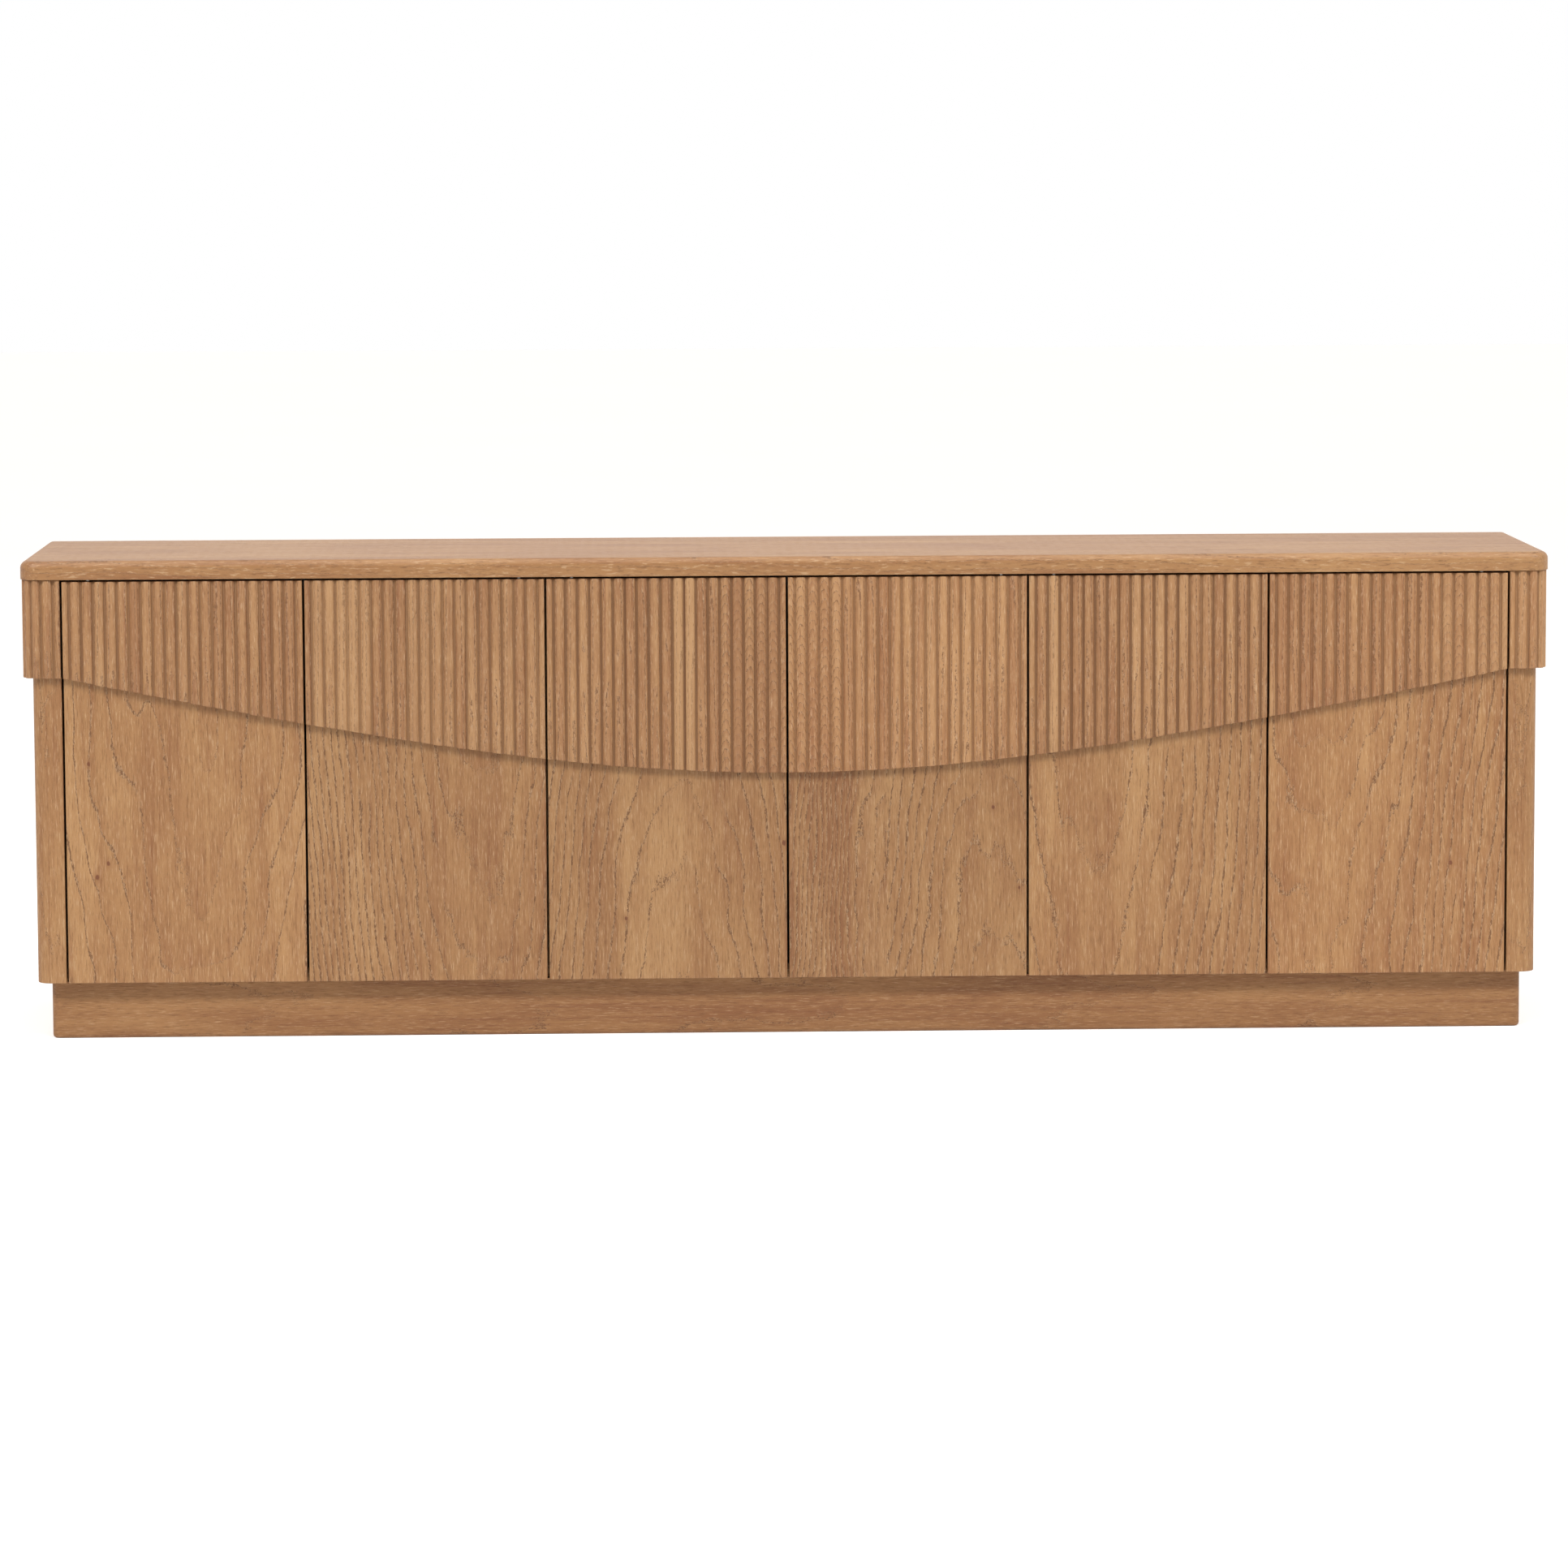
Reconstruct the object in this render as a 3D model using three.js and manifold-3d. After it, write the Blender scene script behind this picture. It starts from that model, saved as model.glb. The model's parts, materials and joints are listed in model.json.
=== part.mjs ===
// Media cabinet: a long low cabinet with six doors in three bays.
// A reeded apron hangs under the top. It wraps both front corners, and its lower edge dips in one
// long wave over the doors. The body stands on a set-back plinth.
// Millimetres. +X is to the right, +Y runs from front to back, +Z is up. The origin is at the
// middle of the footprint, on the floor.

import * as THREE from 'three';
import { mergeVertices } from 'three/addons/utils/BufferGeometryUtils.js';
import Module from 'manifold-3d';

const wasm = await Module();
wasm.setup();

// Overall size
const WIDTH = 2440;
const DEPTH = 490;
const HEIGHT = 770;

// Gap left between two pieces that touch
const FIT = 0.3;

// How far a cutting shape runs past the face that it cuts
const OVERRUN = 1;

// Fineness of round shapes
const CURVE_STEPS = 4;
const CYLINDER_SIDES = 16;
const REED_STEPS = 6;
const ARRIS_STEPS = 2;
const BAND_CORNER_STEPS = 8;
const WAVE_STEPS = 12;

// Top slab
const TOP_THICKNESS = 30;
const TOP_EDGE_ROUND = 12;
const TOP_FRONT_CORNER = 32;
const TOP_BACK_CORNER = 14;
const TOP_BACK_OVERHANG = 5;

// Reeded apron: door overlays and corner bands
const REED_PITCH = 18.9;
const REED_GROOVE = 3;
const REED_DEPTH = 4.5;
const REED_END_MIN = 9;
const CREST_SETBACK = 2;
const OVERLAY_THICKNESS = 11;
const BAND_SIDE_THICKNESS = 15;
const BAND_CORNER = 30;
const ARRIS = 2.5;

// Wave along the lower edge of the apron
const WAVE_LOW = 424;
const WAVE_RISE = 159;
const WAVE_SWEEP = 680;

// Doors
const DOOR_COUNT = 6;
const DOOR_THICKNESS = 20;
const DOOR_GAP = 3.5;
const DOOR_TOP_GAP = 3;
const DOOR_TO_BOTTOM = 4;

// Body
const POST_WIDTH = 47;
const POST_DEPTH = 48;
const POST_CORNER = 24;
const SIDE_THICKNESS = 20;
const BOTTOM_THICKNESS = 20;
const PARTITION_THICKNESS = 18;
const PARTITION_TO_DOOR = 3;
const SHELF_THICKNESS = 18;
const SHELF_HEIGHT = 420;
const SHELF_PLAY = 1;
const SHELF_SETBACK = 4;
const BACK_THICKNESS = 8;
const BACK_RECESS = 7;
const CABLE_HOLE_RADIUS = 30;
const CABLE_HOLE_HEIGHT = 110;
const CABLE_HOLE_OFFSET = 130;

// Plinth
const PLINTH_HEIGHT = 92;
const PLINTH_SIDE_INSET = 21;
const PLINTH_FRONT_INSET = 23;
const PLINTH_BACK_INSET = 20;
const PLINTH_THICKNESS = 18;
const PLINTH_CORNER = 12;

// Pivot hinges: a pin in the door's top edge turns in a bush in the top slab, and the bottom edge
// turns on the pin of a steel arm that reaches out of the plinth into a relief in the door
const SWING_CLEARANCE = 0.8;
const TOP_PIN_RADIUS = 3;
const TOP_PIN_IN_DOOR = 14;
const TOP_PIN_IN_BUSH = 10;
const BUSH_WALL = 3;
const BUSH_HEIGHT = 12;
const ARM_THICKNESS = 3;
const ARM_HALF_WIDTH = 4.2;
const ARM_PIN_RADIUS = 2.5;
const ARM_PIN_HEIGHT = 14;
const RELIEF_LIP = 2;
const RELIEF_PLAY = 1.8;
const RELIEF_HEADROOM = 0.5;
const WEB_PLAY = 2;

// Push latches under the top slab, one for each pair of doors
const LATCH_WIDTH = 52;
const LATCH_LENGTH = 50;
const LATCH_HEIGHT = 17;
const PLUNGER_RADIUS = 4;
const PLUNGER_LENGTH = 36;
const PLUNGER_SPACING = 14;
const PLUNGER_TRAVEL = 3;
const PLUNGER_SPARE = 1;
const LATCH_SETBACK = 2;

// Places that follow from the sizes above; y is counted from the front edge of the top slab
const TOP_UNDERSIDE = HEIGHT - TOP_THICKNESS;
const FACE_Y = CREST_SETBACK + OVERLAY_THICKNESS;
const DOOR_BACK_Y = FACE_Y + DOOR_THICKNESS;
const BODY_BACK_Y = DEPTH - TOP_BACK_OVERHANG;
const BODY_HALF = WIDTH / 2 - CREST_SETBACK - BAND_SIDE_THICKNESS;
const POST_INNER = BODY_HALF - POST_WIDTH;
const SIDE_INNER = BODY_HALF - SIDE_THICKNESS;
const DOOR_ROW_HALF = POST_INNER - DOOR_GAP / 2;
const DOOR_PITCH = (2 * DOOR_ROW_HALF) / DOOR_COUNT;
const DOOR_WIDTH = DOOR_PITCH - DOOR_GAP;
const DOOR_BOTTOM = PLINTH_HEIGHT;
const DOOR_TOP = TOP_UNDERSIDE - DOOR_TOP_GAP;
const BAND_BOTTOM = WAVE_LOW + WAVE_RISE;
const PIVOT_Y = FACE_Y + RELIEF_LIP + FIT + ARM_HALF_WIDTH;
const SWING_REACH = PIVOT_Y - CREST_SETBACK - ARRIS;
const SWING_SPARE = DOOR_GAP - SWING_CLEARANCE;
const PIVOT_INSET = (SWING_REACH ** 2 - SWING_SPARE ** 2) / (2 * SWING_SPARE);
const SWING_RADIUS = Math.hypot(PIVOT_INSET, SWING_REACH);
const NOTCH_RADIUS = SWING_RADIUS + 2 * SWING_CLEARANCE;
const BOTTOM_FRONT_Y = DOOR_BACK_Y + DOOR_TO_BOTTOM;
const PARTITION_ROOM = PIVOT_INSET + (DOOR_GAP - PARTITION_THICKNESS) / 2 - SWING_CLEARANCE;
const PARTITION_REACH = Math.sqrt(SWING_RADIUS ** 2 - PARTITION_ROOM ** 2);
const PARTITION_FRONT_Y = PIVOT_Y + PARTITION_REACH + PARTITION_TO_DOOR;
const SHELF_FRONT_Y = PIVOT_Y + NOTCH_RADIUS + SHELF_SETBACK;
const BACK_REAR_Y = BODY_BACK_Y - BACK_RECESS;
const BACK_FRONT_Y = BACK_REAR_Y - BACK_THICKNESS;
const INSIDE_FLOOR = PLINTH_HEIGHT + BOTTOM_THICKNESS;
const PLINTH_HALF = BODY_HALF - PLINTH_SIDE_INSET;
const PLINTH_FRONT_Y = FACE_Y + PLINTH_FRONT_INSET;
const PLINTH_BACK_Y = BODY_BACK_Y - PLINTH_BACK_INSET;
const RELIEF_TOP = PLINTH_HEIGHT + ARM_THICKNESS + RELIEF_HEADROOM;
const ARM_PIN_TOP = PLINTH_HEIGHT + ARM_THICKNESS + ARM_PIN_HEIGHT;
const TOP_PIN_BOTTOM = DOOR_TOP - TOP_PIN_IN_DOOR;
const LATCH_FRONT_Y = DOOR_BACK_Y + PLUNGER_TRAVEL + LATCH_SETBACK;

const finishes = {
  topWood: { color: 0xcaa985, roughness: 0.5, metalness: 0 },
  doorWood: { color: 0xae865f, roughness: 0.6, metalness: 0 },
  reedWood: { color: 0xad8560, roughness: 0.55, metalness: 0 },
  insideWood: { color: 0xb48f69, roughness: 0.65, metalness: 0 },
  plinthWood: { color: 0x9d7351, roughness: 0.6, metalness: 0 },
  steel: { color: 0x9a9a98, roughness: 0.35, metalness: 1 },
  nylon: { color: 0x2a2521, roughness: 0.5, metalness: 0 },
};

const cabinet = new THREE.Group();
cabinet.position.y = -DEPTH / 2;

function add(name, geometry, finish, parent = cabinet) {
  const mesh = new THREE.Mesh(geometry, new THREE.MeshStandardMaterial(finishes[finish]));
  mesh.name = name;
  parent.add(mesh);
  return mesh;
}

// Basic shapes

function block(x0, x1, y0, y1, z0, z1) {
  const box = new THREE.BoxGeometry(x1 - x0, y1 - y0, z1 - z0);
  return box.translate((x0 + x1) / 2, (y0 + y1) / 2, (z0 + z1) / 2);
}

function standing(outline, z0, z1) {
  const options = { depth: z1 - z0, bevelEnabled: false, curveSegments: CURVE_STEPS };
  return new THREE.ExtrudeGeometry(outline, options).translate(0, 0, z0);
}

function uprightCylinder(radius, x, y, z0, z1) {
  const cylinder = new THREE.CylinderGeometry(radius, radius, z1 - z0, CYLINDER_SIDES);
  return cylinder.rotateX(Math.PI / 2).translate(x, y, (z0 + z1) / 2);
}

function levelCylinder(radius, x, z, y0, y1) {
  const cylinder = new THREE.CylinderGeometry(radius, radius, y1 - y0, CYLINDER_SIDES);
  return cylinder.translate(x, (y0 + y1) / 2, z);
}

// A rectangle whose front corners have one radius and whose back corners have another
function roundedPlan(x0, x1, y0, y1, frontRadius, backRadius) {
  const plan = new THREE.Shape();
  plan.moveTo(x0 + frontRadius, y0);
  plan.lineTo(x1 - frontRadius, y0);
  plan.absarc(x1 - frontRadius, y0 + frontRadius, frontRadius, -Math.PI / 2, 0);
  plan.lineTo(x1, y1 - backRadius);
  plan.absarc(x1 - backRadius, y1 - backRadius, backRadius, 0, Math.PI / 2);
  plan.lineTo(x0 + backRadius, y1);
  plan.absarc(x0 + backRadius, y1 - backRadius, backRadius, Math.PI / 2, Math.PI);
  plan.lineTo(x0, y0 + frontRadius);
  plan.absarc(x0 + frontRadius, y0 + frontRadius, frontRadius, Math.PI, 1.5 * Math.PI);
  return plan;
}

// Cuts and joins

function toSolid(geometry) {
  const bare = geometry.clone();
  bare.deleteAttribute('normal');
  bare.deleteAttribute('uv');
  const merged = mergeVertices(bare);
  const corners = merged.index.array;
  const triangles = [];
  for (let at = 0; at < corners.length; at += 3) {
    const [a, b, c] = [corners[at], corners[at + 1], corners[at + 2]];
    if (a !== b && b !== c && c !== a) triangles.push(a, b, c);
  }
  const mesh = new wasm.Mesh({
    numProp: 3,
    vertProperties: new Float32Array(merged.attributes.position.array),
    triVerts: new Uint32Array(triangles),
  });
  return new wasm.Manifold(mesh);
}

function toGeometry(solid) {
  const mesh = solid.getMesh();
  const geometry = new THREE.BufferGeometry();
  geometry.setAttribute('position', new THREE.BufferAttribute(mesh.vertProperties, 3));
  geometry.setIndex(new THREE.BufferAttribute(mesh.triVerts, 1));
  return geometry;
}

function cut(geometry, tools) {
  const carved = tools.reduce((solid, tool) => solid.subtract(toSolid(tool)), toSolid(geometry));
  return toGeometry(carved);
}

function join(geometry, other) {
  return toGeometry(toSolid(geometry).add(toSolid(other)));
}

// Reeding: [distance along the run, depth below the crest] for a run of the given length.
// The full reeds are centred, and the part reed at each end has a rounded arris.
function reedProfile(length) {
  const halfWidth = (REED_PITCH - REED_GROOVE) / 2;
  const radius = (halfWidth ** 2 + REED_DEPTH ** 2) / (2 * REED_DEPTH);
  const depthAt = (offset) => radius - Math.sqrt(radius ** 2 - offset ** 2);
  const full = Math.floor((length - 2 * REED_END_MIN) / REED_PITCH);
  const endWidth = (length - full * REED_PITCH) / 2;
  const endCrest = endWidth - REED_GROOVE / 2 - halfWidth;
  const start = [];
  for (let step = 0; step <= ARRIS_STEPS; step += 1) {
    const angle = (step / ARRIS_STEPS) * (Math.PI / 2);
    start.push([ARRIS * (1 - Math.cos(angle)), ARRIS * (1 - Math.sin(angle))]);
  }
  for (let step = 1; step <= REED_STEPS; step += 1) {
    const offset = halfWidth * (step / REED_STEPS);
    const place = endCrest + offset;
    if (place > ARRIS + FIT) start.push([place, depthAt(offset)]);
  }
  const points = [...start];
  for (let reed = 0; reed < full; reed += 1) {
    const crest = endWidth + (reed + 0.5) * REED_PITCH;
    for (let step = 0; step <= REED_STEPS; step += 1) {
      const offset = halfWidth * ((2 * step) / REED_STEPS - 1);
      points.push([crest + offset, depthAt(offset)]);
    }
  }
  const end = start.map(([place, depth]) => [length - place, depth]).reverse();
  return [...points, ...end];
}

// Top slab

const doorNumbers = Array.from({ length: DOOR_COUNT }, (_, index) => index);
const gapX = (index) => -DOOR_ROW_HALF + index * DOOR_PITCH;
const hingeSide = (index) => (index % 2 === 0 ? -1 : 1);
const hingeGapX = (index) => gapX(index + (hingeSide(index) > 0 ? 1 : 0));
const pivotX = (index) => hingeGapX(index) - hingeSide(index) * (DOOR_GAP / 2 + PIVOT_INSET);

function topSlab() {
  const plan = roundedPlan(
    -WIDTH / 2, WIDTH / 2, 0, DEPTH, TOP_FRONT_CORNER, TOP_BACK_CORNER,
  );
  const rounded = new THREE.ExtrudeGeometry(plan, {
    depth: TOP_THICKNESS,
    bevelThickness: TOP_EDGE_ROUND,
    bevelSize: TOP_EDGE_ROUND,
    bevelOffset: -TOP_EDGE_ROUND,
    bevelSegments: CURVE_STEPS,
    curveSegments: CURVE_STEPS,
  }).translate(0, 0, HEIGHT - TOP_THICKNESS - TOP_EDGE_ROUND);
  const below = block(
    -WIDTH, WIDTH, -DEPTH, 2 * DEPTH, TOP_UNDERSIDE - 2 * TOP_EDGE_ROUND, TOP_UNDERSIDE,
  );
  const boreRadius = TOP_PIN_RADIUS + BUSH_WALL + 2 * FIT;
  const bores = doorNumbers.map((index) => uprightCylinder(
    boreRadius, pivotX(index), PIVOT_Y, TOP_UNDERSIDE - OVERRUN, TOP_UNDERSIDE + BUSH_HEIGHT + FIT,
  ));
  return cut(rounded, [below, ...bores]);
}

add('top_panel', topSlab(), 'topWood');

// Body panels

function bottomPanel() {
  const postEdge = POST_INNER - FIT;
  const sideEdge = SIDE_INNER - FIT;
  const postBack = FACE_Y + POST_DEPTH + FIT;
  const plan = new THREE.Shape([
    new THREE.Vector2(-postEdge, BOTTOM_FRONT_Y),
    new THREE.Vector2(postEdge, BOTTOM_FRONT_Y),
    new THREE.Vector2(postEdge, postBack),
    new THREE.Vector2(sideEdge, postBack),
    new THREE.Vector2(sideEdge, BODY_BACK_Y),
    new THREE.Vector2(-sideEdge, BODY_BACK_Y),
    new THREE.Vector2(-sideEdge, postBack),
    new THREE.Vector2(-postEdge, postBack),
  ]);
  const z0 = PLINTH_HEIGHT - OVERRUN;
  const z1 = INSIDE_FLOOR + OVERRUN;
  const webHalf = PARTITION_THICKNESS / 2 + WEB_PLAY;
  const swings = doorNumbers.map(
    (index) => uprightCylinder(NOTCH_RADIUS, pivotX(index), PIVOT_Y, z0, z1),
  );
  const webs = doorNumbers.map((index) => block(
    hingeGapX(index) - webHalf, hingeGapX(index) + webHalf,
    BOTTOM_FRONT_Y - OVERRUN, PARTITION_FRONT_Y - FIT, z0, z1,
  ));
  return cut(standing(plan, PLINTH_HEIGHT, INSIDE_FLOOR), [...swings, ...webs]);
}

add('bottom_panel', bottomPanel(), 'insideWood');

// The post that carries the first or last door, with its outer front corner rounded
function cornerPost(side) {
  const plan = new THREE.Shape();
  const frontY = FACE_Y;
  const backY = FACE_Y + POST_DEPTH;
  plan.moveTo(side * POST_INNER, backY);
  plan.lineTo(side * POST_INNER, frontY);
  plan.lineTo(side * (BODY_HALF - POST_CORNER), frontY);
  const start = -Math.PI / 2;
  const end = side > 0 ? 0 : -Math.PI;
  const centre = side * (BODY_HALF - POST_CORNER);
  plan.absarc(centre, frontY + POST_CORNER, POST_CORNER, start, end, side < 0);
  plan.lineTo(side * BODY_HALF, backY);
  return standing(plan, PLINTH_HEIGHT, TOP_UNDERSIDE - FIT);
}

// The outline of a corner band: reeds along the front, round the corner and down the side,
// then back along the inner face, which follows the post and the side panel
function reededBand(side) {
  const crestHalf = WIDTH / 2 - CREST_SETBACK;
  const frontRun = crestHalf - BAND_CORNER - POST_INNER;
  const arcRun = (BAND_CORNER * Math.PI) / 2;
  const sideRun = BODY_BACK_Y - CREST_SETBACK - BAND_CORNER;
  const outer = reedProfile(frontRun + arcRun + sideRun).map(([place, depth]) => {
    if (place < frontRun) {
      return [POST_INNER + place, CREST_SETBACK + depth];
    }
    if (place < frontRun + arcRun) {
      const angle = (place - frontRun) / BAND_CORNER;
      const radius = BAND_CORNER - depth;
      return [
        crestHalf - BAND_CORNER + radius * Math.sin(angle),
        CREST_SETBACK + BAND_CORNER - radius * Math.cos(angle),
      ];
    }
    return [crestHalf - depth, CREST_SETBACK + BAND_CORNER + place - frontRun - arcRun];
  });
  const innerRadius = POST_CORNER + FIT;
  const centreX = BODY_HALF - POST_CORNER;
  const centreY = FACE_Y + POST_CORNER;
  const inner = [[BODY_HALF + FIT, BODY_BACK_Y]];
  for (let step = 0; step <= BAND_CORNER_STEPS; step += 1) {
    const angle = (step / BAND_CORNER_STEPS) * (Math.PI / 2);
    inner.push([
      centreX + innerRadius * Math.cos(angle),
      centreY - innerRadius * Math.sin(angle),
    ]);
  }
  inner.push([POST_INNER, FACE_Y - FIT]);
  const plan = new THREE.Shape(
    [...outer, ...inner].map(([x, y]) => new THREE.Vector2(side * x, y)),
  );
  return standing(plan, BAND_BOTTOM, TOP_UNDERSIDE - FIT);
}

function sidePanel(side) {
  const edges = [side * SIDE_INNER, side * BODY_HALF].sort((a, b) => a - b);
  const frontY = FACE_Y + POST_DEPTH + FIT;
  return block(...edges, frontY, BODY_BACK_Y, PLINTH_HEIGHT, TOP_UNDERSIDE - FIT);
}

function partition(centre) {
  const half = PARTITION_THICKNESS / 2;
  return block(
    centre - half, centre + half,
    PARTITION_FRONT_Y, BODY_BACK_Y, INSIDE_FLOOR + FIT, TOP_UNDERSIDE - FIT,
  );
}

for (const [name, side] of [['left', -1], ['right', 1]]) {
  add(`${name}_corner_post`, cornerPost(side), 'doorWood');
  add(`${name}_reeded_band`, reededBand(side), 'reedWood');
  add(`${name}_side_panel`, sidePanel(side), 'doorWood');
  add(`${name}_partition`, partition(side * DOOR_PITCH), 'insideWood');
}

// Bays: each has a shelf, and a back panel with a cable hole to the right of its middle, so that
// the hole isn't behind the gap between the bay's two doors

function backPanel(x0, x1) {
  const panel = block(x0, x1, BACK_FRONT_Y, BACK_REAR_Y, INSIDE_FLOOR + FIT, TOP_UNDERSIDE - FIT);
  const hole = levelCylinder(
    CABLE_HOLE_RADIUS, (x0 + x1) / 2 + CABLE_HOLE_OFFSET, INSIDE_FLOOR + CABLE_HOLE_HEIGHT,
    BACK_FRONT_Y - OVERRUN, BACK_REAR_Y + OVERRUN,
  );
  return cut(panel, [hole]);
}

const partitionFace = DOOR_PITCH - PARTITION_THICKNESS / 2;
const outerPartitionFace = DOOR_PITCH + PARTITION_THICKNESS / 2;
const bays = [
  ['left', -SIDE_INNER, -outerPartitionFace],
  ['middle', -partitionFace, partitionFace],
  ['right', outerPartitionFace, SIDE_INNER],
];
for (const [name, x0, x1] of bays) {
  add(`${name}_back_panel`, backPanel(x0 + FIT, x1 - FIT), 'insideWood');
  add(`${name}_shelf`, block(
    x0 + SHELF_PLAY, x1 - SHELF_PLAY, SHELF_FRONT_Y, BACK_FRONT_Y - SHELF_PLAY,
    SHELF_HEIGHT, SHELF_HEIGHT + SHELF_THICKNESS,
  ), 'insideWood');
}

// Plinth: a front board with rounded ends, a back board, and two side boards between them

function plinthBoards() {
  const top = PLINTH_HEIGHT - FIT;
  const frontInner = PLINTH_FRONT_Y + PLINTH_THICKNESS;
  const backInner = PLINTH_BACK_Y - PLINTH_THICKNESS;
  const frontPlan = roundedPlan(
    -PLINTH_HALF, PLINTH_HALF, PLINTH_FRONT_Y, frontInner, PLINTH_CORNER, FIT,
  );
  add('plinth_front', standing(frontPlan, 0, top), 'plinthWood');
  const back = block(-PLINTH_HALF, PLINTH_HALF, backInner, PLINTH_BACK_Y, 0, top);
  add('plinth_back', back, 'plinthWood');
  for (const [name, x0] of [['left', -PLINTH_HALF], ['right', PLINTH_HALF - PLINTH_THICKNESS]]) {
    const board = block(x0, x0 + PLINTH_THICKNESS, frontInner + FIT, backInner - FIT, 0, top);
    add(`plinth_${name}_side`, board, 'plinthWood');
  }
}

plinthBoards();

// Pivot hardware that stays on the body

function topBush() {
  const inner = TOP_PIN_RADIUS + FIT;
  const outer = inner + BUSH_WALL;
  const ring = [
    new THREE.Vector2(inner, 0),
    new THREE.Vector2(outer, 0),
    new THREE.Vector2(outer, BUSH_HEIGHT),
    new THREE.Vector2(inner, BUSH_HEIGHT),
    new THREE.Vector2(inner, 0),
  ];
  return new THREE.LatheGeometry(ring, CYLINDER_SIDES).rotateX(Math.PI / 2);
}

function pivotArm() {
  const reach = PLINTH_FRONT_Y + PLINTH_THICKNESS - PIVOT_Y - ARM_HALF_WIDTH;
  const plan = new THREE.Shape();
  plan.moveTo(-ARM_HALF_WIDTH, reach);
  plan.lineTo(-ARM_HALF_WIDTH, 0);
  plan.absarc(0, 0, ARM_HALF_WIDTH, Math.PI, 2 * Math.PI);
  plan.lineTo(ARM_HALF_WIDTH, reach);
  plan.absarc(0, reach, ARM_HALF_WIDTH, 0, Math.PI);
  const plate = standing(plan, PLINTH_HEIGHT, PLINTH_HEIGHT + ARM_THICKNESS);
  return join(plate, uprightCylinder(ARM_PIN_RADIUS, 0, 0, PLINTH_HEIGHT + FIT, ARM_PIN_TOP));
}

// Doors: x and y of each piece are counted from the door's own pivot line

function waveHeight(x) {
  const bend = (distance) => Math.hypot(1, distance / WAVE_SWEEP) - 1;
  return WAVE_LOW + WAVE_RISE * (bend(x) / bend(DOOR_ROW_HALF));
}

function doorPanel(side) {
  const edges = [side * PIVOT_INSET, side * (PIVOT_INSET - DOOR_WIDTH)].sort((a, b) => a - b);
  const frontY = FACE_Y - PIVOT_Y;
  const backY = DOOR_BACK_Y - PIVOT_Y;
  const panel = block(...edges, frontY, backY, DOOR_BOTTOM, DOOR_TOP);
  const reliefEdges = [
    side * (PIVOT_INSET + OVERRUN), -side * (ARM_HALF_WIDTH + RELIEF_PLAY),
  ].sort((a, b) => a - b);
  const relief = block(
    ...reliefEdges, frontY + RELIEF_LIP, backY + OVERRUN, DOOR_BOTTOM - OVERRUN, RELIEF_TOP,
  );
  const bottomBore = uprightCylinder(
    ARM_PIN_RADIUS + FIT, 0, 0, DOOR_BOTTOM - OVERRUN, ARM_PIN_TOP + FIT,
  );
  const topBore = uprightCylinder(
    TOP_PIN_RADIUS + FIT, 0, 0, TOP_PIN_BOTTOM - FIT, DOOR_TOP + OVERRUN,
  );
  return cut(panel, [relief, bottomBore, topBore]);
}

function doorReeding(index) {
  const left = gapX(index) + DOOR_GAP / 2 - pivotX(index);
  const right = left + DOOR_WIDTH;
  const crestY = CREST_SETBACK - PIVOT_Y;
  const backY = FACE_Y - FIT - PIVOT_Y;
  const front = reedProfile(DOOR_WIDTH).map(
    ([place, depth]) => new THREE.Vector2(left + place, crestY + depth),
  );
  const plan = new THREE.Shape(
    [...front, new THREE.Vector2(right, backY), new THREE.Vector2(left, backY)],
  );
  const slab = standing(plan, WAVE_LOW - OVERRUN, DOOR_TOP);
  const below = new THREE.Shape();
  below.moveTo(left - OVERRUN, WAVE_LOW - 2 * OVERRUN);
  below.lineTo(right + OVERRUN, WAVE_LOW - 2 * OVERRUN);
  for (let step = WAVE_STEPS; step >= 0; step -= 1) {
    const x = left - OVERRUN + (step / WAVE_STEPS) * (DOOR_WIDTH + 2 * OVERRUN);
    below.lineTo(x, waveHeight(x + pivotX(index)));
  }
  const thickness = 2 * DOOR_BACK_Y;
  const cutter = new THREE.ExtrudeGeometry(below, { depth: thickness, bevelEnabled: false })
    .rotateX(Math.PI / 2).translate(0, thickness / 2, 0);
  return cut(slab, [cutter]);
}

for (const index of doorNumbers) {
  const name = `door_${index + 1}`;
  const pivot = new THREE.Group();
  pivot.position.set(pivotX(index), PIVOT_Y, 0);
  cabinet.add(pivot);
  add(`${name}_panel`, doorPanel(hingeSide(index)), 'doorWood', pivot);
  add(`${name}_reeded_overlay`, doorReeding(index), 'reedWood', pivot);
  const pin = uprightCylinder(
    TOP_PIN_RADIUS, 0, 0, TOP_PIN_BOTTOM, TOP_UNDERSIDE + TOP_PIN_IN_BUSH,
  );
  add(`${name}_top_pin`, pin, 'steel', pivot);
  add(`${name}_pivot_arm`, pivotArm(), 'steel', pivot);
  add(`${name}_top_bush`, topBush(), 'nylon', pivot).position.z = TOP_UNDERSIDE;
}

// Push latches: a housing under the top slab with one sprung plunger for each door of the pair

function latchHousing() {
  const z1 = TOP_UNDERSIDE - FIT;
  const z0 = z1 - LATCH_HEIGHT;
  const housing = block(
    -LATCH_WIDTH / 2, LATCH_WIDTH / 2, LATCH_FRONT_Y, LATCH_FRONT_Y + LATCH_LENGTH, z0, z1,
  );
  const boreEnd = DOOR_BACK_Y + FIT + PLUNGER_LENGTH + PLUNGER_TRAVEL + PLUNGER_SPARE;
  const bores = [-PLUNGER_SPACING, PLUNGER_SPACING].map((x) => levelCylinder(
    PLUNGER_RADIUS + FIT, x, (z0 + z1) / 2, LATCH_FRONT_Y - OVERRUN, boreEnd,
  ));
  return cut(housing, bores);
}

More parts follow.
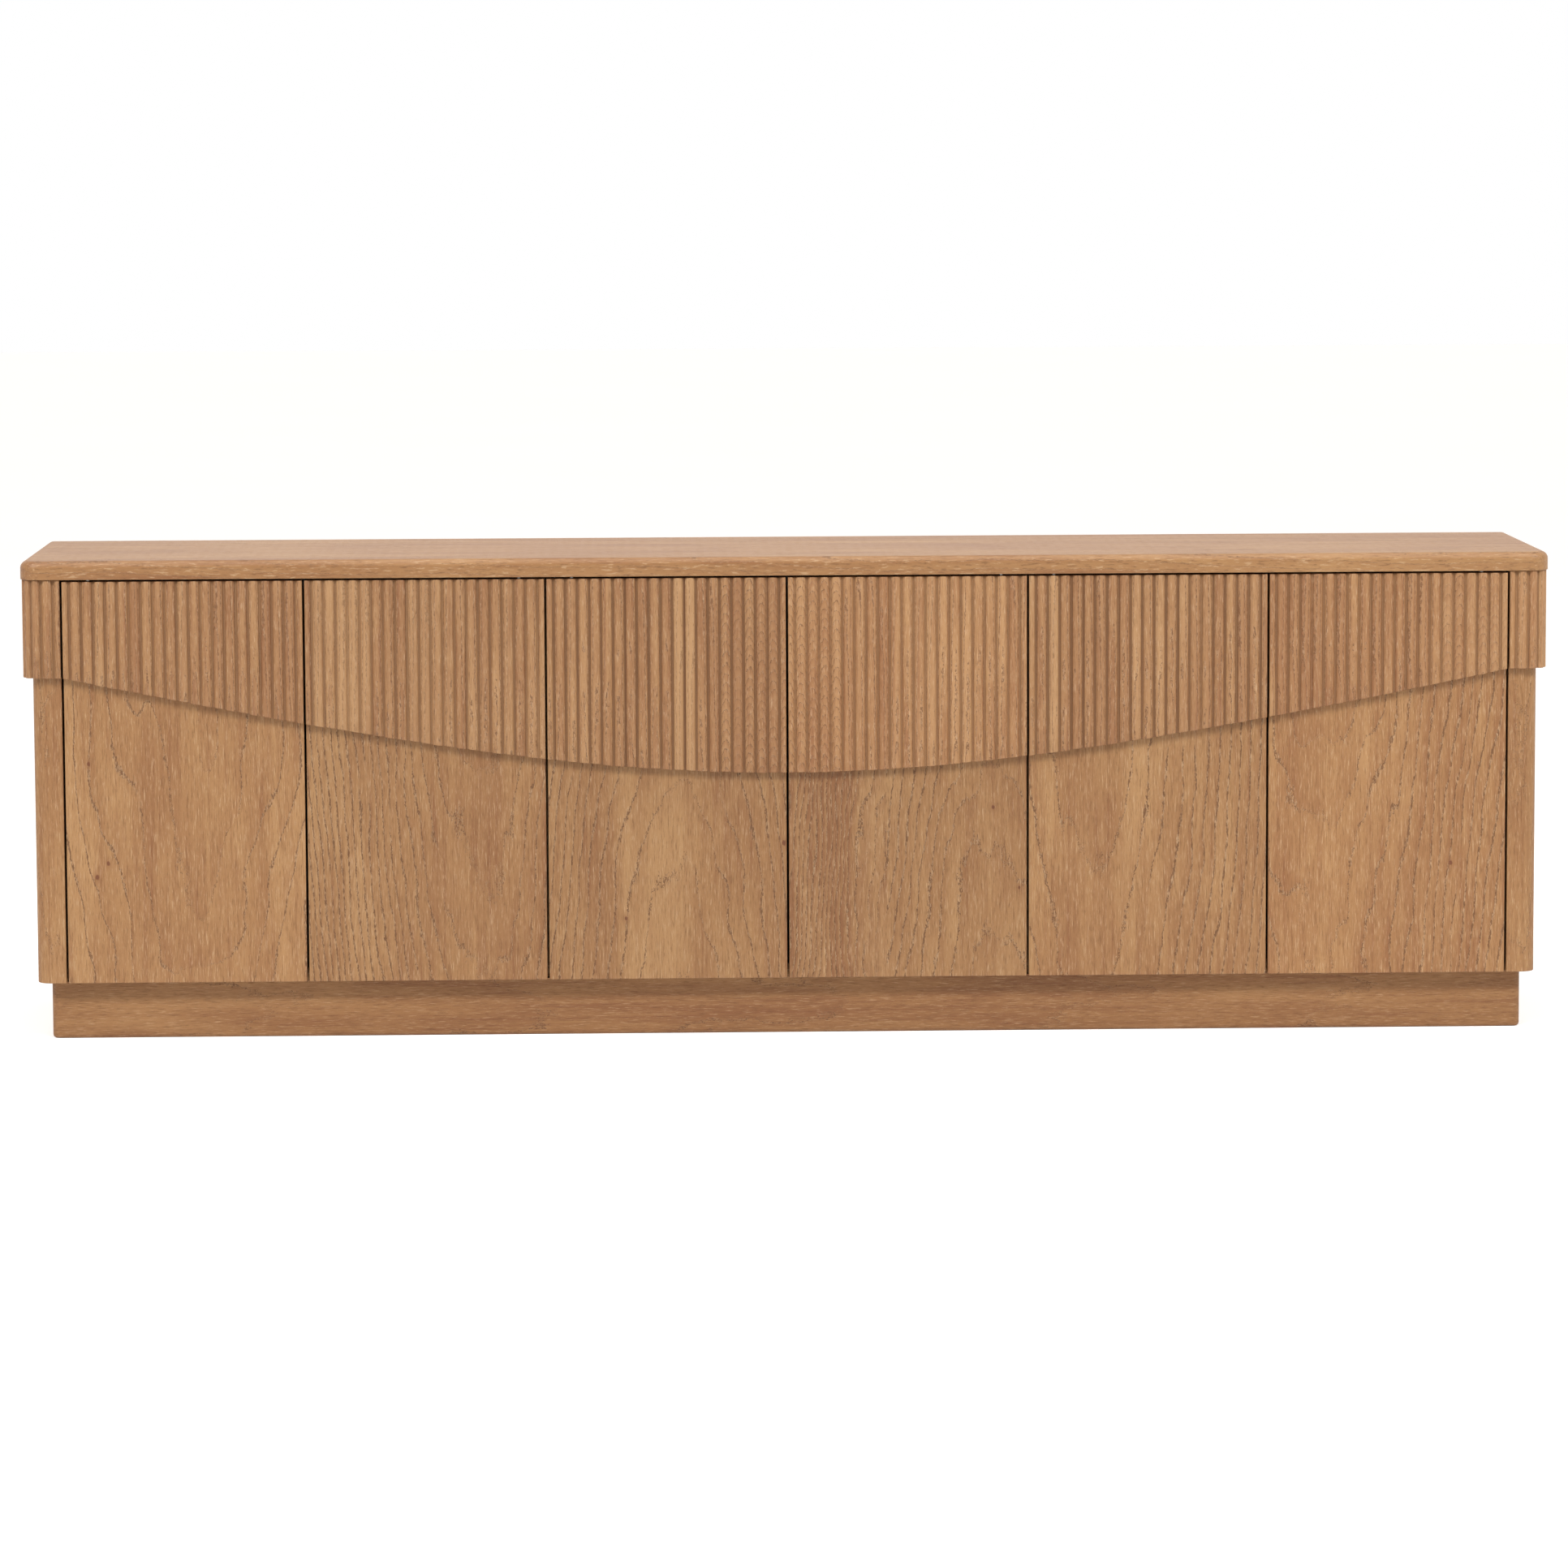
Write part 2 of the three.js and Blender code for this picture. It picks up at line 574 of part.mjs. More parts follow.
for (let pair = 0; pair < DOOR_COUNT / 2; pair += 1) {
  const latch = new THREE.Group();
  latch.position.x = gapX(2 * pair + 1);
  cabinet.add(latch);
  add(`latch_${pair + 1}_housing`, latchHousing(), 'nylon', latch);
  const height = TOP_UNDERSIDE - FIT - LATCH_HEIGHT / 2;
  for (const side of [-1, 1]) {
    const plunger = levelCylinder(
      PLUNGER_RADIUS, side * PLUNGER_SPACING, height,
      DOOR_BACK_Y + FIT, DOOR_BACK_Y + FIT + PLUNGER_LENGTH,
    );
    add(`door_${2 * pair + (side < 0 ? 1 : 2)}_plunger`, plunger, 'nylon', latch);
  }
}

export default cabinet;
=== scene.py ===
"""Media cabinet in brushed oak: six doors under a reeded, wave-cut apron.

Laid out as a Blender add-on and run as a script. Metres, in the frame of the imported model:
+X to the right, +Y from front to back, +Z up, origin on the floor under the cabinet's middle.
"""

import json
import math
import random

import bpy
from bpy.props import FloatProperty, FloatVectorProperty, IntProperty, PointerProperty
from mathutils import Euler, Matrix, Vector


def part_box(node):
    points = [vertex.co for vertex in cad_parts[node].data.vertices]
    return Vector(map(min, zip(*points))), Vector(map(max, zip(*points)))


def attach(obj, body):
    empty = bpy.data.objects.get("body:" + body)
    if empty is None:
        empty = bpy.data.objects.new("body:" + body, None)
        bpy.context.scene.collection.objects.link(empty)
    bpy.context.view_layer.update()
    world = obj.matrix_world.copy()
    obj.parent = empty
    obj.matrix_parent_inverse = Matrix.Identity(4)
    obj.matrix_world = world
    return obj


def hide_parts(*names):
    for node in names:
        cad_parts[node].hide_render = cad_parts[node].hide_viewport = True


bl_info = {
    "name": "Media cabinet",
    "version": (1, 0, 0),
    "blender": (4, 5, 0),
    "location": "View3D > Sidebar > Cabinet",
    "description": "Builds the visible pieces and finishes of a reeded oak media cabinet",
    "category": "Object",
}

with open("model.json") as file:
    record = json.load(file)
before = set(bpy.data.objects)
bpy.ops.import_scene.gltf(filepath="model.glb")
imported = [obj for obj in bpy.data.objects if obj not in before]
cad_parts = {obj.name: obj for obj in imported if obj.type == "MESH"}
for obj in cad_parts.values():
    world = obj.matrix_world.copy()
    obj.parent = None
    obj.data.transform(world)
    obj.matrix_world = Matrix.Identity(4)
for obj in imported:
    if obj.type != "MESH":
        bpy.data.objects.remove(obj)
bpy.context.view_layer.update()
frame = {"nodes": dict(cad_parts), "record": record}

DOORS = range(1, 7)
SIDES = {"left": -1, "right": 1}
BAYS = ("left", "middle", "right")
TOP_LOW, TOP_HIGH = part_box("top_panel")
POST_LOW, POST_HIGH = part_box("right_corner_post")
BAND_LOW, BAND_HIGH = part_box("right_reeded_band")
FRONT_Y = TOP_LOW.y
BACK_Y = BAND_HIGH.y
MM = 0.001


def length_prop(name, description, default):
    return FloatProperty(name=name, description=description, default=default, unit="LENGTH")


def colour_prop(name, description, default):
    return FloatVectorProperty(
        name=name, description=description, default=default, subtype="COLOR", size=3,
        min=0, max=1,
    )


class CabinetSizes(bpy.types.PropertyGroup):
    """Sizes that a maker would change"""

    top_round: length_prop("Top edge round", "Radius along the top's upper edge", 12 * MM)
    top_front_corner: length_prop(
        "Top front corner", "Plan radius of the top's front corners", 32 * MM,
    )
    top_back_corner: length_prop(
        "Top back corner", "Plan radius of the top's back corners", 14 * MM,
    )
    arris: length_prop("Arris", "Easing along the edges of the boards", 1.5 * MM)
    reed_pitch: length_prop("Reed pitch", "From one reed's crest to the next", 18.9 * MM)
    reed_groove: length_prop("Groove width", "Flat floor between two reeds", 3 * MM)
    reed_depth: length_prop("Reed depth", "From crest to groove floor", 4.5 * MM)
    reed_end_min: length_prop(
        "Least end width", "Least width left for the part reed at each end", 9 * MM,
    )
    reed_arris: length_prop("End arris", "Rounding at the ends of a reeded run", 2.5 * MM)
    reed_steps: IntProperty(
        name="Reed steps", description="Facets across one reed", default=12, min=6, max=24,
    )
    reed_end_round: length_prop(
        "Reed end round", "Rounding of the reeds' upper and lower ends", 1.6 * MM,
    )
    wave_low: length_prop(
        "Wave low point", "Height of the apron's lower edge at the middle", 424 * MM,
    )
    wave_rise: length_prop(
        "Wave rise", "From the low point to the lower edge at the posts", 159 * MM,
    )
    wave_sweep: length_prop("Wave sweep", "Half width over which the wave is rounded", 680 * MM)
    band_corner: length_prop(
        "Band corner", "Plan radius of the reeded band's corner at its crest", 30 * MM,
    )
    post_corner: length_prop("Post corner", "Plan radius of the post's outer corner", 24 * MM)
    fit: length_prop("Fit", "Gap between pieces that touch", 0.3 * MM)
    plinth_corner: length_prop(
        "Plinth corner", "Plan radius of the plinth's front corners", 12 * MM,
    )
    plinth_foot: length_prop(
        "Plinth foot round", "Rounding along the plinth's lower front edge", 6 * MM,
    )


class CabinetColours(bpy.types.PropertyGroup):
    """Finishes that a maker would change"""

    oak: colour_prop("Oak", "Main tone of the doors, posts and reeds", (0.268, 0.137, 0.053))
    oak_dark: colour_prop(
        "Oak, dark streaks", "Tone of late growth and dark streaks", (0.190, 0.080, 0.029),
    )
    oak_pale: colour_prop("Oak, pale streaks", "Tone of sapwood streaks", (0.345, 0.196, 0.083))
    wax: colour_prop("Pore filler", "Pale wax left in the brushed grain", (0.445, 0.300, 0.172))
    # Also the painted shade on the floors of the reeds' grooves
    pore_and_groove_shade: colour_prop(
        "Open pores", "Grey-brown of the open pores and growth rings", (0.115, 0.048, 0.016),
    )
    knot: colour_prop("Knot", "Heart of the small knots", (0.11, 0.032, 0.011))
    steel: colour_prop("Steel", "Zinc-plated pins and arms", (0.55, 0.55, 0.53))
    nylon: colour_prop("Nylon", "Bushes and catches", (0.022, 0.016, 0.012))
    rubber: colour_prop("Rubber", "Cable grommets", (0.03, 0.028, 0.026))


def sizes():
    return bpy.context.scene.cabinet_sizes


def colours():
    return bpy.context.scene.cabinet_colours


# Modelling helpers


def newest(name):
    piece = bpy.context.view_layer.objects.active
    piece.name = name
    piece.data.name = name
    return piece


def only(piece):
    bpy.ops.object.select_all(action="DESELECT")
    piece.select_set(True)
    bpy.context.view_layer.objects.active = piece


def settle(piece):
    """Puts a piece's place, turn and scale into its mesh."""
    only(piece)
    bpy.ops.object.transform_apply(location=True, rotation=True, scale=True)
    return piece


def apply_modifier(piece, kind, **settings):
    only(piece)
    modifier = piece.modifiers.new(kind.title(), kind)
    for key, value in settings.items():
        setattr(modifier, key, value)
    bpy.ops.object.modifier_apply(modifier=modifier.name)


def ease_edges(piece, width, segments=3, angle=35):
    """Rounds every edge sharper than the angle, and keeps the wide faces flat."""
    apply_modifier(
        piece, "BEVEL", width=width, segments=segments, limit_method="ANGLE",
        angle_limit=math.radians(angle),
    )
    smooth(piece)


def smooth(piece):
    only(piece)
    bpy.ops.object.shade_smooth()
    apply_modifier(piece, "WEIGHTED_NORMAL", weight=80)


def block(name, centre, size):
    bpy.ops.object.select_all(action="DESELECT")
    bpy.ops.mesh.primitive_cube_add(size=1, location=centre, scale=size)
    return settle(newest(name))


def board(name, low, high):
    """A squared board with eased edges."""
    low, high = Vector(low), Vector(high)
    piece = block(name, (low + high) / 2, high - low)
    ease_edges(piece, sizes().arris)
    return piece


def rod(name, centre, radius, length, axis="Z", sides=32):
    """A round bar along one axis, with its middle at centre."""
    turn = {"X": (0, math.pi / 2, 0), "Y": (math.pi / 2, 0, 0), "Z": (0, 0, 0)}[axis]
    bpy.ops.object.select_all(action="DESELECT")
    bpy.ops.mesh.primitive_cylinder_add(
        vertices=sides, radius=radius, depth=length, location=centre, rotation=turn,
    )
    return settle(newest(name))


def plan_piece(name, plan, low, high):
    """A piece with one plan all the way up: a filled ring set out along the plan, extruded."""
    bpy.ops.object.select_all(action="DESELECT")
    bpy.ops.mesh.primitive_circle_add(vertices=len(plan), radius=1, fill_type="NGON")
    piece = newest(name)
    for vertex, (x, y) in zip(piece.data.vertices, plan):
        vertex.co = (x, y, low)
    bpy.ops.object.mode_set(mode="EDIT")
    bpy.ops.mesh.select_all(action="SELECT")
    bpy.ops.mesh.extrude_region_move(TRANSFORM_OT_translate={"value": (0, 0, high - low)})
    bpy.ops.mesh.select_all(action="SELECT")
    bpy.ops.mesh.normals_make_consistent(inside=False)
    bpy.ops.object.mode_set(mode="OBJECT")
    return piece


def round_edges(piece, chosen, radius, segments):
    """Rounds the edges for which chosen(start, end) is true."""
    only(piece)
    bpy.ops.object.mode_set(mode="EDIT")
    bpy.ops.mesh.select_all(action="DESELECT")
    bpy.ops.object.mode_set(mode="OBJECT")
    mesh = piece.data
    for edge in mesh.edges:
        start, end = (mesh.vertices[corner].co for corner in edge.vertices)
        edge.select = chosen(start, end)
    bpy.ops.object.mode_set(mode="EDIT")
    bpy.ops.mesh.select_mode(type="EDGE")
    bpy.ops.mesh.bevel(offset=radius, segments=segments, affect="EDGES", profile=0.5)
    bpy.ops.object.mode_set(mode="OBJECT")


def carve(piece, *cutters):
    """Cuts each cutter out of the piece and removes it."""
    for cutter in cutters:
        apply_modifier(piece, "BOOLEAN", operation="DIFFERENCE", object=cutter, solver="EXACT")
        bpy.data.objects.remove(cutter)
    return piece


def copy_of(piece, name, offset):
    """A copy with its own mesh, moved by offset."""
    twin = piece.copy()
    twin.data = piece.data.copy()
    twin.name = twin.data.name = name
    bpy.context.collection.objects.link(twin)
    twin.data.transform(Matrix.Translation(Vector(offset)))
    return twin


def arc(centre, radius, start, end, steps):
    """Points of an arc in plan, angles in degrees."""
    turns = [math.radians(start + (end - start) * step / steps) for step in range(steps + 1)]
    return [(centre[0] + radius * math.cos(t), centre[1] + radius * math.sin(t)) for t in turns]


def finish(piece, material, body, slot, *stands_for):
    """Gives a piece its material, hangs it on its body and hides the solids it stands for."""
    piece.data.materials.clear()
    piece.data.materials.append(material)
    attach(piece, body)
    if stands_for:
        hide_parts(*stands_for)
    return piece


def repaint(node, material):
    """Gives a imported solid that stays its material."""
    solid = frame["nodes"][node]
    solid.data.materials.clear()
    solid.data.materials.append(material)


# Reeding


def reed_profile(length):
    """[distance along the run, depth below the crest, reed number] across a whole run."""
    s = sizes()
    half = (s.reed_pitch - s.reed_groove) / 2
    radius = (half**2 + s.reed_depth**2) / (2 * s.reed_depth)

    def fall(offset):
        return radius - math.sqrt(radius**2 - offset**2)

    full = math.floor((length - 2 * s.reed_end_min) / s.reed_pitch)
    end_width = (length - full * s.reed_pitch) / 2
    end_crest = end_width - s.reed_groove / 2 - half
    start = []
    for step in range(5):
        angle = math.radians(90 * step / 4)
        start.append((
            s.reed_arris * (1 - math.cos(angle)), s.reed_arris * (1 - math.sin(angle)), 0,
        ))
    for step in range(1, s.reed_steps + 1):
        offset = half * step / s.reed_steps
        if end_crest + offset > s.reed_arris * 1.15:
            start.append((end_crest + offset, fall(offset), 0))
    points = list(start)
    for reed in range(full):
        crest = end_width + (reed + 0.5) * s.reed_pitch
        for step in range(s.reed_steps + 1):
            offset = half * (2 * step / s.reed_steps - 1)
            points.append((crest + offset, fall(offset), reed + 1))
    points += [(length - place, depth, full + 1) for place, depth, _ in reversed(start)]
    return points


def reed_tones(count, seed):
    """A tone for each reed: those cut from one stave are alike."""
    draw = random.Random(seed)
    tones = []
    while len(tones) < count:
        stave = draw.uniform(-0.5, 0.5)
        tones += [stave + draw.uniform(-0.45, 0.45) for _ in range(draw.randint(3, 6))]
    return tones[:count]


def store_reeding(piece, length, runs, depths, seed, chevrons):
    """Keeps what the reeded finish reads at each point: distance along the run and from the
    reed's own crest, depth, tone, and whether the reed shows chevrons."""
    s = sizes()
    full = math.floor((length - 2 * s.reed_end_min) / s.reed_pitch)
    first = (length - full * s.reed_pitch) / 2
    tones = reed_tones(full + 2, seed)
    reeds = [max(0, min(full + 1, 1 + math.floor((run - first) / s.reed_pitch))) for run in runs]
    crests = [first + (reed - 0.5) * s.reed_pitch for reed in reeds]
    store(piece, "run", runs)
    store(piece, "offset", [run - crest for run, crest in zip(runs, crests)])
    store(piece, "depth", [max(0.0, depth) for depth in depths])
    store(piece, "tone", [tones[reed] for reed in reeds])
    store(piece, "chevron", [float(reed in chevrons) for reed in reeds])


def wave_height(x, half_row):
    """Height of the apron's lower edge at x."""
    s = sizes()

    def bend(distance):
        return math.hypot(1, distance / s.wave_sweep) - 1

    return s.wave_low + s.wave_rise * bend(x) / bend(half_row)


def store(piece, name, values):
    layer = piece.data.attributes.new(name, "FLOAT", "POINT")
    layer.data.foreach_set("value", values)


def reeded_overlay(name, left, right, crest_y, back_y, top, half_row, seed, chevrons):
    """A door's reeded face: a grid laid over the reeds, drawn back to a flat rear face."""
    s = sizes()
    profile = reed_profile(right - left)
    draw = random.Random(seed)
    end = s.reed_end_round
    rounding = [math.radians(90 * step / 3) for step in range(4)]
    middle_rows = 7
    rows = 2 * len(rounding) + middle_rows
    bpy.ops.object.select_all(action="DESELECT")
    bpy.ops.mesh.primitive_grid_add(
        x_subdivisions=len(profile) - 1, y_subdivisions=rows - 1, size=2,
    )
    piece = newest(name)
    wander = [draw.uniform(-1, 1) for _ in range((profile[-1][2] + 1) * rows)]
    for vertex in piece.data.vertices:
        column = round((vertex.co.x + 1) / 2 * (len(profile) - 1))
        row = round((vertex.co.y + 1) / 2 * (rows - 1))
        place, depth, reed = profile[column]
        x = left + place
        foot = wave_height(x, half_row) + 0.5 * MM * wander[reed * rows]
        if row < len(rounding):
            z = foot + end * (1 - math.cos(rounding[row]))
            back = end * (1 - math.sin(rounding[row]))
        elif row >= rows - len(rounding):
            angle = rounding[rows - 1 - row]
            z = top - end * (1 - math.cos(angle))
            back = end * (1 - math.sin(angle))
        else:
            share = (row - len(rounding) + 1) / (middle_rows + 1)
            z = foot + end + (top - foot - 2 * end) * share
            back = 0.12 * MM * (1 + wander[reed * rows + row])
        vertex.co = (x, min(crest_y + depth + back, back_y - MM), z)
    bpy.ops.object.mode_set(mode="EDIT")
    bpy.ops.mesh.select_all(action="SELECT")
    bpy.ops.mesh.region_to_loop()
    bpy.ops.mesh.extrude_region_move(TRANSFORM_OT_translate={"value": (0, MM, 0)})
    bpy.ops.object.mode_set(mode="OBJECT")
    for vertex in piece.data.vertices:
        if vertex.select:
            vertex.co.y = back_y
    bpy.ops.object.mode_set(mode="EDIT")
    bpy.ops.mesh.edge_face_add()
    bpy.ops.mesh.select_all(action="SELECT")
    bpy.ops.mesh.normals_make_consistent(inside=False)
    bpy.ops.object.mode_set(mode="OBJECT")
    bpy.ops.object.shade_smooth_by_angle(angle=math.radians(32))
    points = [vertex.co for vertex in piece.data.vertices]
    store_reeding(
        piece, right - left, [point.x - left for point in points],
        [point.y - crest_y for point in points], seed, chevrons,
    )
    return piece


def reeded_band(name, side, seed):
    """A corner band: reeds along the front, round the corner and down the side to the back."""
    s = sizes()
    crest_y = BAND_LOW.y
    crest_x = BAND_HIGH.x
    inner_x = POST_LOW.x
    corner = s.band_corner
    front_run = crest_x - corner - inner_x
    arc_run = corner * math.pi / 2
    side_run = BACK_Y - crest_y - corner
    profile = reed_profile(front_run + arc_run + side_run)
    plan = []
    for place, depth, _ in profile:
        if place < front_run:
            plan.append((inner_x + place, crest_y + depth))
        elif place < front_run + arc_run:
            angle = (place - front_run) / corner
            reach = corner - depth
            plan.append((
                crest_x - corner + reach * math.sin(angle),
                crest_y + corner - reach * math.cos(angle),
            ))
        else:
            plan.append((crest_x - depth, crest_y + corner + place - front_run - arc_run))
    post_centre = (POST_HIGH.x - s.post_corner, POST_LOW.y + s.post_corner)
    plan.append((POST_HIGH.x + s.fit, BACK_Y))
    plan += arc(post_centre, s.post_corner + s.fit, 0, -90, 16)
    plan.append((inner_x, POST_LOW.y - s.fit))
    piece = plan_piece(name, [(side * x, y) for x, y in plan], BAND_LOW.z, BAND_HIGH.z)
    apply_modifier(
        piece, "BEVEL", width=s.reed_end_round * 0.7, segments=3, limit_method="ANGLE",
        angle_limit=math.radians(70), use_clamp_overlap=False,
    )
    only(piece)
    bpy.ops.object.shade_smooth_by_angle(angle=math.radians(32))
    runs, depths = [], []
    for vertex in piece.data.vertices:
        x, y = abs(vertex.co.x), vertex.co.y
        from_x, from_y = x - (crest_x - corner), (crest_y + corner) - y
        if from_x <= 0:
            run, depth = x - inner_x, y - crest_y
        elif from_y <= 0:
            run, depth = front_run + arc_run - from_y, crest_x - x
        else:
            run = front_run + corner * math.atan2(from_x, from_y)
            depth = corner - math.hypot(from_x, from_y)
        runs.append(run)
        depths.append(depth)
    store_reeding(piece, front_run + arc_run + side_run, runs, depths, seed, ())
    return piece


# Materials


class Graph:
    """A short way to add and join a material's nodes."""

    def __init__(self, name):
        self.material = bpy.data.materials.new(name)
        self.material.use_nodes = True
        self.tree = self.material.node_tree
        self.tree.nodes.clear()
        self.shader = self.add("ShaderNodeBsdfPrincipled")
        output = self.add("ShaderNodeOutputMaterial")
        self.join(self.shader.outputs["BSDF"], output.inputs["Surface"])

    def add(self, kind, **settings):
        node = self.tree.nodes.new(kind)
        for key, value in settings.items():
            setattr(node, key, value)
        return node

    def join(self, value, socket):
        if isinstance(value, bpy.types.NodeSocket):
            self.tree.links.new(value, socket)
        elif value is not None:
            socket.default_value = value

    def math(self, operation, *values):
        node = self.add("ShaderNodeMath", operation=operation)
        for value, socket in zip(values, node.inputs):
            self.join(value, socket)
        return node.outputs[0]

    def total(self, *values):
        result = values[0]
        for value in values[1:]:
            result = self.math("ADD", result, value)
        return result

    def times(self, *values):
        result = values[0]
        for value in values[1:]:
            result = self.math("MULTIPLY", result, value)
        return result

    def fade(self, value, low, high, to_low=0.0, to_high=1.0):
        node = self.add("ShaderNodeMapRange", interpolation_type="SMOOTHSTEP", clamp=True)
        for given, name in (
            (value, "Value"), (low, "From Min"), (high, "From Max"),
            (to_low, "To Min"), (to_high, "To Max"),
        ):
            self.join(given, node.inputs[name])
        return node.outputs["Result"]

    def vector(self, x, y, z):
        node = self.add("ShaderNodeCombineXYZ")
        for value, socket in zip((x, y, z), node.inputs):
            self.join(value, socket)
        return node.outputs[0]

    def noise(self, vector, detail=2.0, roughness=0.5):
        """Noise of about one feature per unit of the vector, from 0 to 1."""
        node = self.add("ShaderNodeTexNoise")
        self.join(vector, node.inputs["Vector"])
        node.inputs["Scale"].default_value = 1.0
        node.inputs["Detail"].default_value = detail
        node.inputs["Roughness"].default_value = roughness
        node.inputs["Distortion"].default_value = 0.0
        return node.outputs["Fac"]

    def stretched(self, places, scales, detail=2.0, roughness=0.5):
        """Noise with its own scale each way: a scale of None leaves a value as it is."""
        parts = [
            place if scale is None else self.math("MULTIPLY", place, scale)
            for place, scale in zip(places, scales)
        ]
        return self.noise(self.vector(*parts), detail, roughness)

    def less(self, value, taken):
        return self.math("SUBTRACT", value, taken)

    def mix(self, share, a, b, blend="MIX"):
        node = self.add("ShaderNodeMix", data_type="RGBA", blend_type=blend)
        self.join(share, node.inputs["Factor"])
        self.join(a, node.inputs[6])
        self.join(b, node.inputs[7])
        return node.outputs[2]

    def object_axes(self):
        coordinates = self.add("ShaderNodeTexCoord")
        split = self.add("ShaderNodeSeparateXYZ")
        self.join(coordinates.outputs["Object"], split.inputs[0])
        return dict(zip("xyz", split.outputs))

    def attribute(self, name):
        node = self.add("ShaderNodeAttribute", attribute_name=name)
        return node.outputs["Fac"]

    def bump(self, height, distance, strength=1.0):
        node = self.add("ShaderNodeBump")
        node.inputs["Distance"].default_value = distance
        node.inputs["Strength"].default_value = strength
        self.join(height, node.inputs["Height"])
        self.join(node.outputs["Normal"], self.shader.inputs["Normal"])


class Figure:
    """How a stave was cut from the log. All in metres: the heart's place across the board and
    behind its face, how fast the rings climb along it, their spacing, and how they wander."""

    def __init__(self, heart=0.0, behind=0.03, climb=0.06, spacing=0.009, wander=0.012,
                 tilt=0.0, tilt_from=0.3, line=0.6, start=-9.0, tone=0.0, late=0.25):
        self.heart = heart
        self.behind = behind
        self.climb = climb
        self.spacing = spacing
        self.wander = wander
        self.tilt = tilt
        self.tilt_from = tilt_from
        self.line = line
        self.start = start
        self.tone = tone
        self.late = late


# How far a ring line is pushed aside in metres, its widest, and how steeply chevrons climb
QUICK_WANDER = 7 * MM
JAGGED_WANDER = 3.4 * MM
RING_LINE_WIDTH = 3.6 * MM
CHEVRON_CLIMB = 0.34


def ring_lines(g, across, depth, along, figure, seed, chevron=None):
    """Growth rings seen on a board's face: (pale line, shade between two lines)."""
    climb = figure.climb
    if chevron is not None:
        climb = g.total(g.times(chevron, CHEVRON_CLIMB), figure.climb)
    slow = g.stretched((across, seed, along), (9.0, None, 3.2))
    quick = g.stretched((across, seed + 3.1, along), (55.0, None, 16.0), 3.0)
    jagged = g.stretched((across, seed + 7.7, along), (420.0, None, 210.0))
    warp = g.total(
        g.times(g.less(slow, 0.5), 2 * figure.wander),
        g.times(g.less(quick, 0.5), QUICK_WANDER),
        g.times(g.less(jagged, 0.5), JAGGED_WANDER),
    )
    sideways = g.less(across, figure.heart)
    behind = g.total(
        depth, figure.behind, g.times(g.less(along, figure.tilt_from), figure.tilt),
    )
    reach = g.math("SQRT", g.total(g.times(sideways, sideways), g.times(behind, behind), 1e-5))
    ring = g.total(reach, g.times(along, climb), warp)
    share = g.math("FRACT", g.math("DIVIDE", ring, figure.spacing))
    slope = g.math("DIVIDE", sideways, reach)
    steep = g.math("SQRT", g.total(g.times(slope, slope), g.math("POWER", climb, 2.0), 0.0012))
    distance = g.math("DIVIDE", g.times(share, figure.spacing), steep)
    width = min(RING_LINE_WIDTH, 0.42 * figure.spacing)
    return g.fade(distance, 0.25 * width, width, 1.0, 0.0), g.fade(share, 0.35, 1.0)


